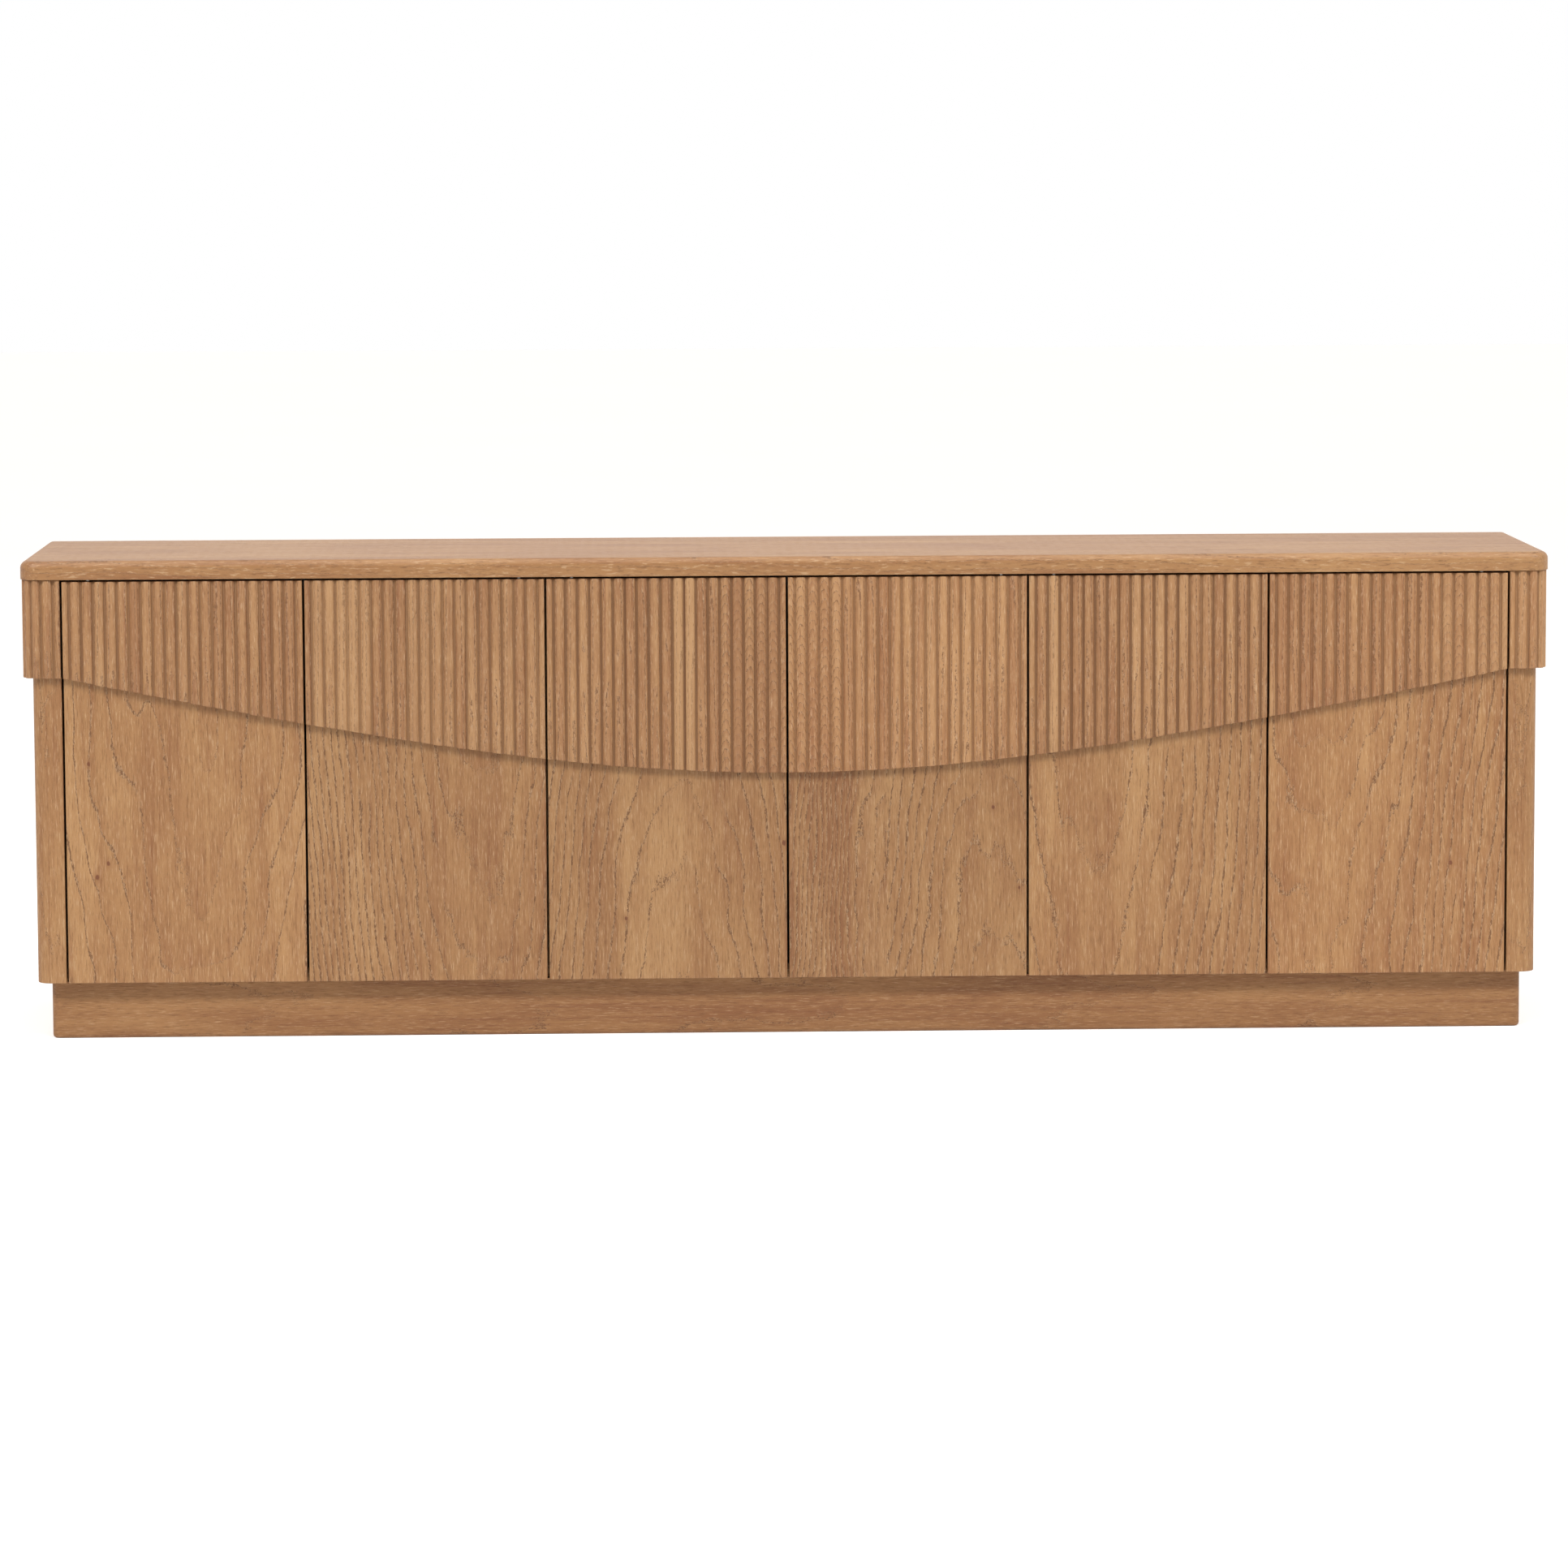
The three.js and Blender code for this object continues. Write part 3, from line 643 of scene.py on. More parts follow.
def oak(name, axes, staves, seed, knots=(), groove_shade=None, gain=1.0, tint=(1.0, 1.0, 1.0),
        roughness=0.56):
    """Brushed oak with pale wax in the grain. axes names the directions across the board,
    into it and along its grain, and staves are its figures from one side to the other.
    The groove argument is how much painted shade the grooves get; None is for a plain board."""
    c = colours()
    g = Graph(name)
    place = g.object_axes()
    if groove_shade is not None:
        own, depth, along = g.attribute("tone"), g.attribute("depth"), place["z"]
        across = g.total(g.attribute("run"), g.times(own, 0.9))
        chevron = g.attribute("chevron")
        straight = g.less(1.0, chevron)
        ring_across = g.total(g.attribute("offset"), g.times(own, 0.022, straight))
        ring_along = g.total(along, g.times(own, 0.06))
    else:
        across, depth, along = (place[axis] for axis in axes)
        ring_across, ring_along, chevron = across, along, None
    line, shade, tone = None, None, None
    for number, figure in enumerate(staves):
        found_line, found_shade = ring_lines(
            g, ring_across, depth, ring_along, figure, seed + 11.3 * number, chevron,
        )
        found_line = g.times(found_line, figure.line)
        found_shade = g.times(found_shade, figure.late)
        if number == 0:
            line, shade, tone = found_line, found_shade, figure.tone
            continue
        here = g.math("GREATER_THAN", across, figure.start)
        there = g.less(1.0, here)
        line = g.total(g.times(line, there), g.times(found_line, here))
        shade = g.total(g.times(shade, there), g.times(found_shade, here))
        tone = g.total(g.times(there, tone), g.times(here, figure.tone))
    bands = g.stretched((across, seed + 20, along), (16.0, None, 1.6), 3.0)
    streaks = g.stretched((across, depth, along), (190.0, 60.0, 5.0), 4.0, 0.6)
    mottle = g.stretched((across, seed + 33, along), (30.0, None, 12.0), 3.0)
    dashes = g.stretched((across, depth, along), (850.0, 300.0, 55.0), 3.0, 0.6)
    flecks = g.stretched((across, seed + 5, along), (560.0, None, 120.0), 3.0, 0.65)
    patches = g.stretched((across, seed + 41, along), (22.0, None, 6.0))
    line = g.times(line, g.fade(patches, 0.25, 0.45))

    dark = g.total(
        g.fade(bands, 0.42, 0.72, 0.0, 0.45), g.fade(streaks, 0.46, 0.70, 0.0, 0.55),
        shade, tone,
    )
    colour = g.mix(g.math("MINIMUM", dark, 1.0), (*c.oak, 1), (*c.oak_dark, 1))
    pale = g.total(
        g.fade(bands, 0.5, 0.28, 0.0, 0.5), g.fade(streaks, 0.46, 0.24, 0.0, 0.35),
        g.fade(mottle, 0.55, 0.75, 0.0, 0.3),
    )
    colour = g.mix(g.math("MINIMUM", pale, 1.0), colour, (*c.oak_pale, 1))
    pores = g.fade(dashes, 0.56, 0.66)
    colour = g.mix(g.times(pores, 0.5), colour, (*c.pore_and_groove_shade, 1))
    waxed = g.fade(dashes, 0.43, 0.34)
    colour = g.mix(g.times(waxed, 0.45), colour, (*c.wax, 1))
    broken = g.fade(flecks, 0.36, 0.56, 0.2, 0.85)
    colour = g.mix(g.times(line, broken), colour, (*c.wax, 1))
    core = g.fade(line, 0.15, 0.5)
    colour = g.mix(g.times(core, g.fade(flecks, 0.64, 0.46, 0.25, 0.95)), colour, (*c.pore_and_groove_shade, 1))
    for knot_across, knot_along, radius in knots:
        gap = g.math("SQRT", g.total(
            g.math("POWER", g.less(across, knot_across), 2.0),
            g.times(g.math("POWER", g.less(along, knot_along), 2.0), 0.55),
        ))
        gap = g.total(gap, g.times(g.less(flecks, 0.5), radius))
        halo = g.fade(gap, radius * 0.8, radius * 3.5, 0.4, 0.0)
        colour = g.mix(halo, colour, (*c.oak_dark, 1))
        colour = g.mix(g.fade(gap, radius * 0.5, radius, 0.9, 0.0), colour, (*c.knot, 1))
    if groove_shade is not None:
        colour = g.mix(g.fade(own, 0.1, 0.9, 0.0, 0.45), colour, (*c.oak_dark, 1))
        colour = g.mix(g.fade(own, -0.1, -0.9, 0.0, 0.5), colour, (*c.oak_pale, 1))
        # Painted shade: the groove floors darken toward the pore colour, unevenly from reed to
        # reed.
        floor = g.fade(depth, 3.2 * MM, 4.3 * MM)
        uneven = g.stretched((across, seed, 0.0), (31.0, None, None))
        uneven = g.fade(uneven, 0.38, 0.62, 0.35, 1.0)
        colour = g.mix(g.times(floor, uneven, groove_shade), colour, (*c.pore_and_groove_shade, 1))
    colour = g.mix(1.0, colour, (*(gain * part for part in tint), 1), "MULTIPLY")
    g.join(colour, g.shader.inputs["Base Color"])
    g.join(g.total(roughness, g.times(pores, 0.12), g.times(line, 0.1)),
           g.shader.inputs["Roughness"])
    g.shader.inputs["Specular IOR Level"].default_value = 0.36
    hollow = g.total(g.times(pores, 0.5), g.times(waxed, 0.35), g.times(line, 0.5))
    g.bump(g.less(g.times(streaks, 0.5), hollow), 0.5 * MM, 0.55)
    return g.material


def plated_steel():
    """Zinc-plated steel with faint lines of brushing."""
    g = Graph("plated_steel")
    place = g.object_axes()
    brushed = g.stretched(place.values(), (300.0, 300.0, 2500.0), 3.0)
    steel = colours().steel
    darker = tuple(0.8 * part for part in steel)
    g.join(g.mix(brushed, (*steel, 1), (*darker, 1)), g.shader.inputs["Base Color"])
    g.shader.inputs["Metallic"].default_value = 1.0
    g.join(g.fade(brushed, 0.3, 0.7, 0.28, 0.42), g.shader.inputs["Roughness"])
    g.bump(brushed, 0.05 * MM, 0.4)
    return g.material


def moulded(name, colour, roughness):
    """A moulded plastic or rubber with a fine matt grain."""
    g = Graph(name)
    place = g.object_axes()
    grain = g.stretched(place.values(), (900.0, 900.0, 900.0), 3.0)
    cloud = g.stretched(place.values(), (60.0, 60.0, 60.0))
    darker = tuple(0.85 * part for part in colour)
    g.join(g.mix(cloud, (*colour, 1), (*darker, 1)), g.shader.inputs["Base Color"])
    g.join(g.fade(grain, 0.2, 0.8, roughness - 0.06, roughness + 0.08),
           g.shader.inputs["Roughness"])
    g.bump(grain, 0.1 * MM, 0.3)
    return g.material


# How each door's panel was cut, from its heart's place across the cabinet
DOOR_FIGURES = {
    1: [Figure(heart=-0.945, behind=0.012, climb=0.012, spacing=0.019, wander=0.03,
               tilt=0.11, tilt_from=0.36, line=0.85)],
    2: [Figure(heart=-0.49, behind=0.05, climb=-0.05, spacing=0.0085, wander=0.011, line=0.75)],
    3: [Figure(heart=-0.17, behind=0.03, climb=0.07, spacing=0.011, wander=0.014, line=0.65)],
    4: [Figure(heart=0.20, behind=0.02, climb=0.03, spacing=0.0062, wander=0.03, line=1.0,
               tone=0.3, late=0.8),
        Figure(heart=0.335, behind=0.025, climb=0.075, spacing=0.0095, wander=0.012,
               line=0.95, start=0.158)],
    5: [Figure(heart=0.483, behind=0.016, climb=-0.055, spacing=0.0125, wander=0.013,
               line=0.95)],
    6: [Figure(heart=0.86, behind=0.02, climb=-0.07, spacing=0.012, wander=0.02, line=0.85)],
}
# Knots of each door: place across the cabinet, height and radius
DOOR_KNOTS = {
    1: [(-1.115, 0.445, 0.0035), (-1.086, 0.285, 0.0035), (-1.104, 0.263, 0.004)],
    3: [(-0.006, 0.31, 0.004), (-0.26, 0.19, 0.003)],
    4: [(0.329, 0.365, 0.003), (0.371, 0.235, 0.0025)],
    6: [(1.065, 0.27, 0.0035)],
}
# The reeds, numbered from the left of each door, whose grain shows chevrons
CHEVRON_REEDS = {3: range(15, 21), 4: range(0, 5), 6: range(15, 21)}
# How light each door's panel and reeds are, and how much painted shade darkens its grooves
DOOR_GAIN = {1: 1.00, 2: 0.93, 3: 0.90, 4: 0.90, 5: 0.97, 6: 1.06}
GROOVE_SHADE = {1: 0.65, 2: 0.6, 3: 1.0, 4: 0.5, 5: 0.95, 6: 0.7}
REED_GAIN = {1: 1.08, 2: 1.05, 3: 1.08, 4: 1.17, 5: 1.10, 6: 1.16}
REED_TINT = (0.99, 1.01, 1.09)
# Painted shade: warms the plinth's colour as if in the shade under the doors
PLINTH_SHADE_TINT = (1.0, 0.92, 0.84)
REED_CUT = {
    "heart": 0.0, "behind": 0.009, "climb": 0.012, "spacing": 0.0055, "wander": 0.0025,
    "line": 0.7,
}


# Fits and places of the hardware
BORE_MOUTH = 4 * MM
ARM_PLAY = 1.8 * MM
ARM_PIN_RADIUS = 2.5 * MM
RELIEF_LIP = 2 * MM
RELIEF_HEIGHT = 3.5 * MM
PIN_INSET = 0.05
PIN_DROP = 2.7 * MM
PIN_RADIUS = 2.5 * MM
PIN_LENGTH = 14 * MM
GROMMET_RADIUS = 27 * MM
GROMMET_CORD = 2.6 * MM
ARM_SCREW_INSET = 12 * MM
ARM_SCREW_LIFT = 2.5 * MM
CATCH_SCREW_END = 6 * MM
CATCH_SCREW_INSET = 10 * MM
CATCH_SCREW_DROP = 0.4 * MM
# The camera: its place from the middle of the cabinet's front, its turns in degrees, its lens
CAMERA_PLACE = (-0.244, -9.667, 1.453)
CAMERA_TILT = -6.178
CAMERA_PAN = -1.410
CAMERA_ROLL = -0.272
CAMERA_LENS = 139.75


# Operators


class CABINET_OT_top(bpy.types.Operator):
    """Make the top slab with its rounded edge and corners"""

    bl_idname = "cabinet.top"
    bl_label = "Top"

    def execute(self, context):
        s = sizes()
        front, back = s.top_front_corner, s.top_back_corner
        low, high = TOP_LOW, TOP_HIGH
        plan = (
            arc((high.x - front, low.y + front), front, -90, 0, 16)
            + arc((high.x - back, high.y - back), back, 0, 90, 10)
            + arc((low.x + back, high.y - back), back, 90, 180, 10)
            + arc((low.x + front, low.y + front), front, 180, 270, 16)
        )
        piece = plan_piece("top", plan, low.z, high.z)
        round_edges(piece, lambda a, b: min(a.z, b.z) > high.z - MM, s.top_round, 9)
        round_edges(piece, lambda a, b: max(a.z, b.z) < low.z + MM, 1.2 * MM, 3)
        smooth(piece)
        material = oak(
            "oak_top", "yzx",
            [Figure(heart=-0.05, behind=0.03, climb=0.03, spacing=0.014, wander=0.015, line=0.5)],
            51.0, gain=1.0, roughness=0.42,
        )
        cutters = []
        for number in DOORS:
            bush_low, bush_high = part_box(f"door_{number}_top_bush")
            middle = (bush_low + bush_high) / 2
            radius = (bush_high.x - bush_low.x) / 2 + s.fit
            depth = bush_high.z - bush_low.z + s.fit + BORE_MOUTH
            centre = (middle.x, middle.y, bush_low.z - BORE_MOUTH + depth / 2)
            cutters.append(rod("bore", centre, radius, depth))
        carve(piece, *cutters)
        finish(piece, material, "root", "top_wood", "top_panel")
        return {"FINISHED"}


class CABINET_OT_posts(bpy.types.Operator):
    """Make the rounded corner posts and the side panels behind them"""

    bl_idname = "cabinet.posts"
    bl_label = "Posts and sides"

    def execute(self, context):
        s = sizes()
        for name, side in SIDES.items():
            low, high = POST_LOW, POST_HIGH
            plan = [(low.x, high.y), (low.x, low.y)]
            centre = (high.x - s.post_corner, low.y + s.post_corner)
            plan += arc(centre, s.post_corner, -90, 0, 16)
            plan.append((high.x, high.y))
            post = plan_piece(f"{name}_post", [(side * x, y) for x, y in plan], low.z, high.z)
            ease_edges(post, s.arris, angle=50)
            grain = oak(
                f"oak_post_{name}", "xyz",
                [Figure(heart=side * 1.16, behind=0.05, climb=0.03, spacing=0.011, line=0.6)],
                60.0 + side,
            )
            finish(post, grain, "root", "door_wood", f"{name}_corner_post")
            panel = board(f"{name}_side", *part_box(f"{name}_side_panel"))
            grain = oak(
                f"oak_side_{name}", "yxz",
                [Figure(heart=0.05, behind=0.03, climb=0.06, spacing=0.014, wander=0.014)],
                64.0 + side,
            )
            finish(panel, grain, "root", "door_wood", f"{name}_side_panel")
        return {"FINISHED"}


class CABINET_OT_bands(bpy.types.Operator):
    """Make the reeded bands that wrap the two front corners"""

    bl_idname = "cabinet.bands"
    bl_label = "Corner bands"

    def execute(self, context):
        for name, side in SIDES.items():
            band = reeded_band(f"{name}_band", side, 70 + side)
            # Painted shade darkens the floors of the band's grooves.
            grain = oak(
                f"oak_band_{name}", "xyz",
                [Figure(**REED_CUT)],
                72.0 + side, groove_shade=0.6, gain=1.13 + 0.05 * side, tint=REED_TINT,
            )
            finish(band, grain, "root", "reeded_wood", f"{name}_reeded_band")
        return {"FINISHED"}


class CABINET_OT_doors(bpy.types.Operator):
    """Make the flat door panels, cut for their pivots"""

    bl_idname = "cabinet.doors"
    bl_label = "Door panels"

    def execute(self, context):
        s = sizes()
        for number in DOORS:
            low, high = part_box(f"door_{number}_panel")
            panel = board(f"door_{number}_face", low, high)
            arm_low, arm_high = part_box(f"door_{number}_pivot_arm")
            pin_low, pin_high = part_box(f"door_{number}_top_pin")
            pivot = (pin_low + pin_high) / 2
            on_left = pivot.x < (low.x + high.x) / 2
            arm_half = (arm_high.x - arm_low.x) / 2
            inward = 1 if on_left else -1
            edge = low.x - MM if on_left else high.x + MM
            stop = pivot.x + inward * (arm_half + ARM_PLAY)
            lip, relief_top = RELIEF_LIP, low.z + RELIEF_HEIGHT
            size = Vector((abs(stop - edge), high.y - low.y - lip + MM, relief_top - low.z + MM))
            centre = Vector((
                (stop + edge) / 2, low.y + lip + size.y / 2, relief_top - size.z / 2,
            ))
            relief = block("relief", centre, size)
            foot = rod(
                "bore", (pivot.x, pivot.y, (low.z - MM + arm_high.z + s.fit) / 2),
                ARM_PIN_RADIUS + s.fit, arm_high.z + s.fit - low.z + MM,
            )
            head = rod(
                "bore", (pivot.x, pivot.y, (pin_low.z - s.fit + high.z + MM) / 2),
                (pin_high.x - pin_low.x) / 2 + s.fit, high.z + MM - pin_low.z + s.fit,
            )
            carve(panel, relief, foot, head)
            grain = oak(
                f"oak_door_{number}", "xyz", DOOR_FIGURES[number], 3.0 + 7.1 * number,
                DOOR_KNOTS.get(number, ()), gain=DOOR_GAIN[number],
            )
            finish(panel, grain, f"door_{number}", "door_wood", f"door_{number}_panel")
        return {"FINISHED"}


class CABINET_OT_reeds(bpy.types.Operator):
    """Make the reeded overlay of each door, with its foot along the wave"""

    bl_idname = "cabinet.reeds"
    bl_label = "Reeded overlays"

    def execute(self, context):
        first_low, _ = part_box("door_1_panel")
        gap = first_low.x + POST_LOW.x
        half_row = POST_LOW.x - gap / 2
        for number in DOORS:
            low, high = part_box(f"door_{number}_reeded_overlay")
            overlay = reeded_overlay(
                f"door_{number}_reeds", low.x, high.x, low.y, high.y, high.z,
                half_row, 80 + number, CHEVRON_REEDS.get(number, ()),
            )
            # Painted shade darkens the floors of each door's grooves.
            grain = oak(
                f"oak_reeds_{number}", "xyz",
                [Figure(late=0.35, **REED_CUT)],
                90.0 + 5.3 * number, gain=REED_GAIN[number], groove_shade=GROOVE_SHADE[number],
                tint=REED_TINT,
            )
            finish(overlay, grain, f"door_{number}", "reeded_wood",
                   f"door_{number}_reeded_overlay")
        return {"FINISHED"}


class CABINET_OT_plinth(bpy.types.Operator):
    """Make the plinth's four boards"""

    bl_idname = "cabinet.plinth"
    bl_label = "Plinth"

    def execute(self, context):
        s = sizes()
        low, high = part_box("plinth_front")
        corner = s.plinth_corner
        plan = (
            arc((high.x - corner, low.y + corner), corner, -90, 0, 10)
            + [(high.x, high.y), (low.x, high.y)]
            + arc((low.x + corner, low.y + corner), corner, 180, 270, 10)
        )
        front = plan_piece("plinth_face", plan, low.z, high.z)

        def lower_front(a, b):
            return max(a.z, b.z) < low.z + MM and min(a.y, b.y) < high.y - MM

        round_edges(front, lower_front, s.plinth_foot, 5)
        ease_edges(front, 0.5 * MM, 2)
        # Painted shade: gain and tint darken and warm the face, as if less light fell this low
        grain = oak(
            "oak_plinth", "zyx",
            [Figure(heart=0.05, behind=0.02, climb=0.035, spacing=0.016, wander=0.012,
                    line=0.5)],
            120.0, gain=0.81, tint=PLINTH_SHADE_TINT,
        )
        finish(front, grain, "root", "plinth_wood", "plinth_front")
        for name in ("plinth_back", "plinth_left_side", "plinth_right_side"):
            turned = "zyx" if name == "plinth_back" else "zxy"
            # Painted shade: these boards are darkened and warmed the same way
            grain = oak(
                f"oak_{name}", turned,
                [Figure(heart=0.05, behind=0.02, climb=0.035, spacing=0.014, line=0.4)],
                123.0, gain=0.86, tint=(1.0, 0.92, 0.87),
            )
            piece = board(f"{name}_board", *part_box(name))
            finish(piece, grain, "root", "plinth_wood", name)
        return {"FINISHED"}


class CABINET_OT_inside(bpy.types.Operator):
    """Make the partitions, shelves, shelf pins and cable grommets, and finish the back"""

    bl_idname = "cabinet.inside"
    bl_label = "Inside"

    def execute(self, context):
        level = oak(
            "oak_inside_level", "yzx",
            [Figure(heart=0.02, behind=0.03, climb=0.04, spacing=0.012, line=0.45)], 130.0,
        )
        upright = oak(
            "oak_inside_upright", "yxz",
            [Figure(heart=0.02, behind=0.03, climb=0.05, spacing=0.012, line=0.45)], 133.0,
        )
        back = oak(
            "oak_back", "xyz",
            [Figure(heart=0.1, behind=0.06, climb=0.05, spacing=0.02, line=0.35)], 137.0,
        )
        repaint("bottom_panel", level)
        for side in SIDES:
            piece = board(f"{side}_divider", *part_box(f"{side}_partition"))
            finish(piece, upright, "root", "inside_wood", f"{side}_partition")
        steel = plated_steel()
        rubber = moulded("rubber", colours().rubber, 0.6)
        pin = None
        for bay in BAYS:
            low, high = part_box(f"{bay}_shelf")
            piece = board(f"{bay}_shelf_board", low, high)
            finish(piece, level, "root", "inside_wood", f"{bay}_shelf")
            repaint(f"{bay}_back_panel", back)
            for at_y, y in (("front", low.y + PIN_INSET), ("back", high.y - PIN_INSET)):
                for at_x, x in (("left", low.x), ("right", high.x)):
                    spot = Vector((x, y, low.z - PIN_DROP))
                    if pin is None:
                        pin = shelf_pin("shelf_pin", spot)
                        first = spot
                    twin = copy_of(pin, f"{bay}_shelf_pin_{at_x}_{at_y}", spot - first)
                    finish(twin, steel, "root", "steel")
            ring = grommet(f"{bay}_grommet", bay)
            finish(ring, rubber, "root", "nylon")
        bpy.data.objects.remove(pin)
        return {"FINISHED"}


def shelf_pin(name, spot):
    """A short steel pin, half in the wood beside the shelf."""
    pin = rod(name, spot, PIN_RADIUS, PIN_LENGTH, "X", 20)
    only(pin)
    bpy.ops.object.mode_set(mode="EDIT")
    bpy.ops.mesh.select_all(action="SELECT")
    bpy.ops.mesh.bisect(plane_co=spot, plane_no=(1, 0, 0))
    bpy.ops.object.mode_set(mode="OBJECT")
    ease_edges(pin, 0.5 * MM, 2, 60)
    return pin


def cable_hole(bay):
    """The middle of a bay's cable hole, from the openings that the record states."""
    for opening in frame["record"]["physics"]["openings"]:
        if opening["name"] == f"{bay}_cable_hole":
            low, high = (Vector(corner) for corner in opening["box_m"])
            return (low + high) / 2
    raise ValueError(f"no cable hole in the {bay} bay")


def grommet(name, bay):
    """A rubber ring in the cable hole of a back panel."""
    centre = cable_hole(bay)
    bpy.ops.object.select_all(action="DESELECT")
    bpy.ops.mesh.primitive_torus_add(
        location=centre, rotation=(math.pi / 2, 0, 0),
        major_radius=GROMMET_RADIUS, minor_radius=GROMMET_CORD,
        major_segments=48, minor_segments=14,
    )
    ring = newest(name)
    ring.scale = (1, 1, 2.6)
    settle(ring)
    only(ring)
    bpy.ops.object.shade_smooth()
    return ring


class CABINET_OT_hardware(bpy.types.Operator):
    """Finish the door pivots and the push catches"""

    bl_idname = "cabinet.hardware"
    bl_label = "Hardware"

    def execute(self, context):
        steel = bpy.data.materials["plated_steel"]
        nylon = moulded("nylon", colours().nylon, 0.45)
        for number in DOORS:
            repaint(f"door_{number}_top_pin", steel)
            repaint(f"door_{number}_pivot_arm", steel)
            repaint(f"door_{number}_top_bush", nylon)
            repaint(f"door_{number}_plunger", nylon)
        first = Vector((0, 0, 0))
        up_screw = screw("screw", first, 1)
        down_screw = screw("screw", first, -1)
        for number in DOORS:
            low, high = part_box(f"door_{number}_pivot_arm")
            middle = (low.x + high.x) / 2
            spot = Vector((middle, high.y - ARM_SCREW_INSET, low.z + ARM_SCREW_LIFT))
            twin = copy_of(up_screw, f"door_{number}_arm_screw", spot)
            finish(twin, steel, "root", "steel")
        for pair in (1, 2, 3):
            repaint(f"latch_{pair}_housing", nylon)
            low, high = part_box(f"latch_{pair}_housing")
            ends = (("left", low.x + CATCH_SCREW_END), ("right", high.x - CATCH_SCREW_END))
            for name, x in ends:
                spot = Vector((x, high.y - CATCH_SCREW_INSET, low.z - CATCH_SCREW_DROP))
                twin = copy_of(down_screw, f"latch_{pair}_screw_{name}", spot)
                finish(twin, steel, "root", "steel")
        bpy.data.objects.remove(up_screw)
        bpy.data.objects.remove(down_screw)
        return {"FINISHED"}


def screw(name, centre, facing):
    """A pan head with a cross recess, looking up for 1 and down for -1."""
    head = rod(name, centre, 3.0 * MM, 1.4 * MM, "Z", 24)
    ease_edges(head, 0.4 * MM, 2, 60)
    cutters = []
    for size in ((3.4 * MM, 0.8 * MM, 1.4 * MM), (0.8 * MM, 3.4 * MM, 1.4 * MM)):
        cutters.append(block("recess", centre + Vector((0, 0, facing * 0.9 * MM)), size))
    return carve(head, *cutters)


def area_light(name, place, target, size, power):
    bpy.ops.object.select_all(action="DESELECT")
    bpy.ops.object.light_add(type="AREA", location=place)
    light = bpy.context.object
    light.name = name
    light.data.shape = "RECTANGLE"
    light.data.size, light.data.size_y = size
    light.data.energy = power
    light.rotation_euler = (Vector(target) - Vector(place)).to_track_quat("-Z", "Y").to_euler()


def sun(name, bearing, strength):
    """Even light from in front: bearing is degrees to the right of the camera side, and up."""
    across, up = (math.radians(angle) for angle in bearing)
    place = Vector((
        math.sin(across) * math.cos(up), -math.cos(across) * math.cos(up), math.sin(up),
    )) * 6
    bpy.ops.object.select_all(action="DESELECT")
    bpy.ops.object.light_add(type="SUN", location=place)
    light = bpy.context.object
    light.name = name
    light.data.energy = strength
    light.data.angle = math.radians(9)
    light.rotation_euler = (-place).to_track_quat("-Z", "Y").to_euler()


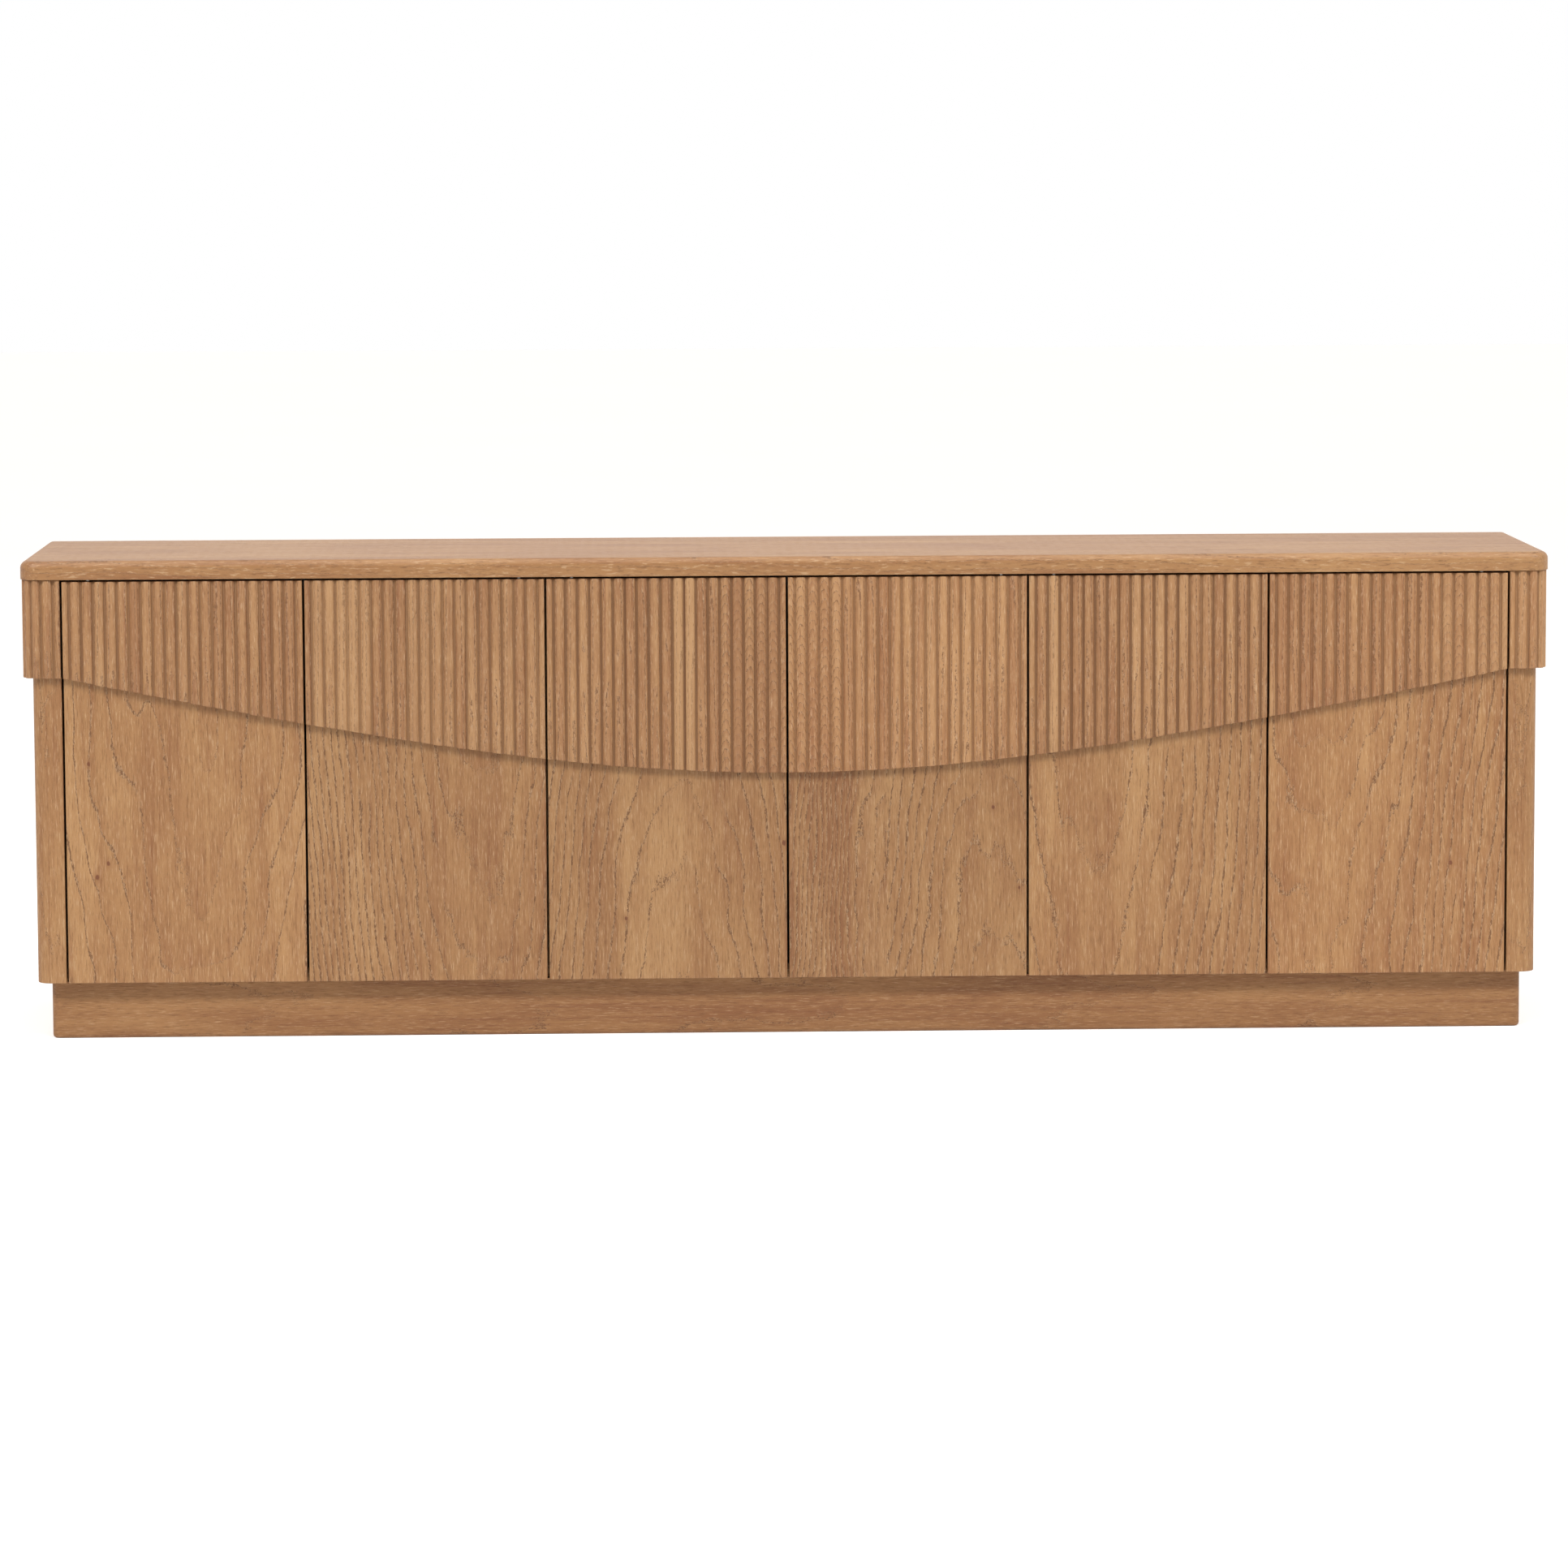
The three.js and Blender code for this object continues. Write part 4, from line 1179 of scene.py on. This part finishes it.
class CABINET_OT_stage(bpy.types.Operator):
    """Set the floor, the soft lights and the camera"""

    bl_idname = "cabinet.stage"
    bl_label = "Stage"

    def execute(self, context):
        scene = context.scene
        bpy.ops.object.select_all(action="DESELECT")
        bpy.ops.mesh.primitive_plane_add(size=60, location=(0, 0, 0))
        floor = settle(newest("floor"))
        g = Graph("pale_floor")
        cloud = g.noise(g.vector(*g.object_axes().values()))
        g.join(g.mix(cloud, (0.93, 0.93, 0.93, 1), (0.9, 0.9, 0.9, 1)),
               g.shader.inputs["Base Color"])
        g.shader.inputs["Roughness"].default_value = 0.9
        g.shader.inputs["Specular IOR Level"].default_value = 0.1
        g.shader.inputs["Emission Color"].default_value = (1, 1, 1, 1)
        g.shader.inputs["Emission Strength"].default_value = 0.25
        floor.data.materials.append(g.material)

        world = bpy.data.worlds.new("studio")
        scene.world = world
        world.use_nodes = True
        tree = world.node_tree
        tree.nodes.clear()
        path = tree.nodes.new("ShaderNodeLightPath")
        sees = tree.nodes.new("ShaderNodeMath")
        sees.operation = "MAXIMUM"
        either = tree.nodes.new("ShaderNodeMixShader")
        output = tree.nodes.new("ShaderNodeOutputWorld")
        tree.links.new(path.outputs["Is Camera Ray"], sees.inputs[0])
        tree.links.new(path.outputs["Is Glossy Ray"], sees.inputs[1])
        tree.links.new(sees.outputs[0], either.inputs[0])
        for socket, colour, strength in (
            (1, (1.0, 0.9, 0.8, 1), 0.33), (2, (1, 1, 1, 1), 1.0),
        ):
            sky = tree.nodes.new("ShaderNodeBackground")
            sky.inputs["Color"].default_value = colour
            sky.inputs["Strength"].default_value = strength
            tree.links.new(sky.outputs[0], either.inputs[socket])
        tree.links.new(either.outputs[0], output.inputs["Surface"])

        for name, side in SIDES.items():
            sun(f"sun_{name}", (side * 33, 50), 1.06)
            area_light(
                f"soft_{name}", (side * 3.4, -2.4, 3.2), (side * 0.6, 0, 0.4), (1.0, 1.0), 84,
            )
        area_light("overhead", (0, -0.3, 3.2), (0, 0, 0.7), (3.6, 1.2), 48)
        data = bpy.data.cameras.new("camera")
        data.sensor_width = 36
        data.lens = CAMERA_LENS
        data.clip_end = 100
        camera = bpy.data.objects.new("camera", data)
        scene.collection.objects.link(camera)
        look = Euler((math.radians(90 + CAMERA_TILT), 0, math.radians(CAMERA_PAN))).to_matrix()
        roll = Matrix.Rotation(math.radians(CAMERA_ROLL), 3, "Z")
        x, y, z = CAMERA_PLACE
        camera.matrix_world = Matrix.Translation((x, FRONT_Y + y, z)) @ (look @ roll).to_4x4()
        scene.camera = camera
        scene.view_settings.view_transform = "Standard"
        return {"FINISHED"}


OPERATORS = (
    CABINET_OT_top, CABINET_OT_posts, CABINET_OT_bands, CABINET_OT_doors, CABINET_OT_reeds,
    CABINET_OT_plinth, CABINET_OT_inside, CABINET_OT_hardware, CABINET_OT_stage,
)


class CABINET_PT_sidebar(bpy.types.Panel):
    """Lists the steps that build the cabinet"""

    bl_idname = "CABINET_PT_sidebar"
    bl_label = "Media cabinet"
    bl_space_type = "VIEW_3D"
    bl_region_type = "UI"
    bl_category = "Cabinet"

    def draw(self, context):
        for operator in OPERATORS:
            self.layout.operator(operator.bl_idname)
        for group in (context.scene.cabinet_sizes, context.scene.cabinet_colours):
            box = self.layout.box()
            for name in group.__annotations__:
                box.prop(group, name)


CLASSES = (CabinetSizes, CabinetColours, *OPERATORS, CABINET_PT_sidebar)


def register():
    for cls in CLASSES:
        bpy.utils.register_class(cls)
    bpy.types.Scene.cabinet_sizes = PointerProperty(type=CabinetSizes)
    bpy.types.Scene.cabinet_colours = PointerProperty(type=CabinetColours)


def unregister():
    del bpy.types.Scene.cabinet_colours
    del bpy.types.Scene.cabinet_sizes
    for cls in reversed(CLASSES):
        bpy.utils.unregister_class(cls)


def main():
    register()
    for name in ("top", "posts", "bands", "doors", "reeds", "plinth", "inside", "hardware",
                 "stage"):
        getattr(bpy.ops.cabinet, name)()


if __name__ == "__main__":
    main()
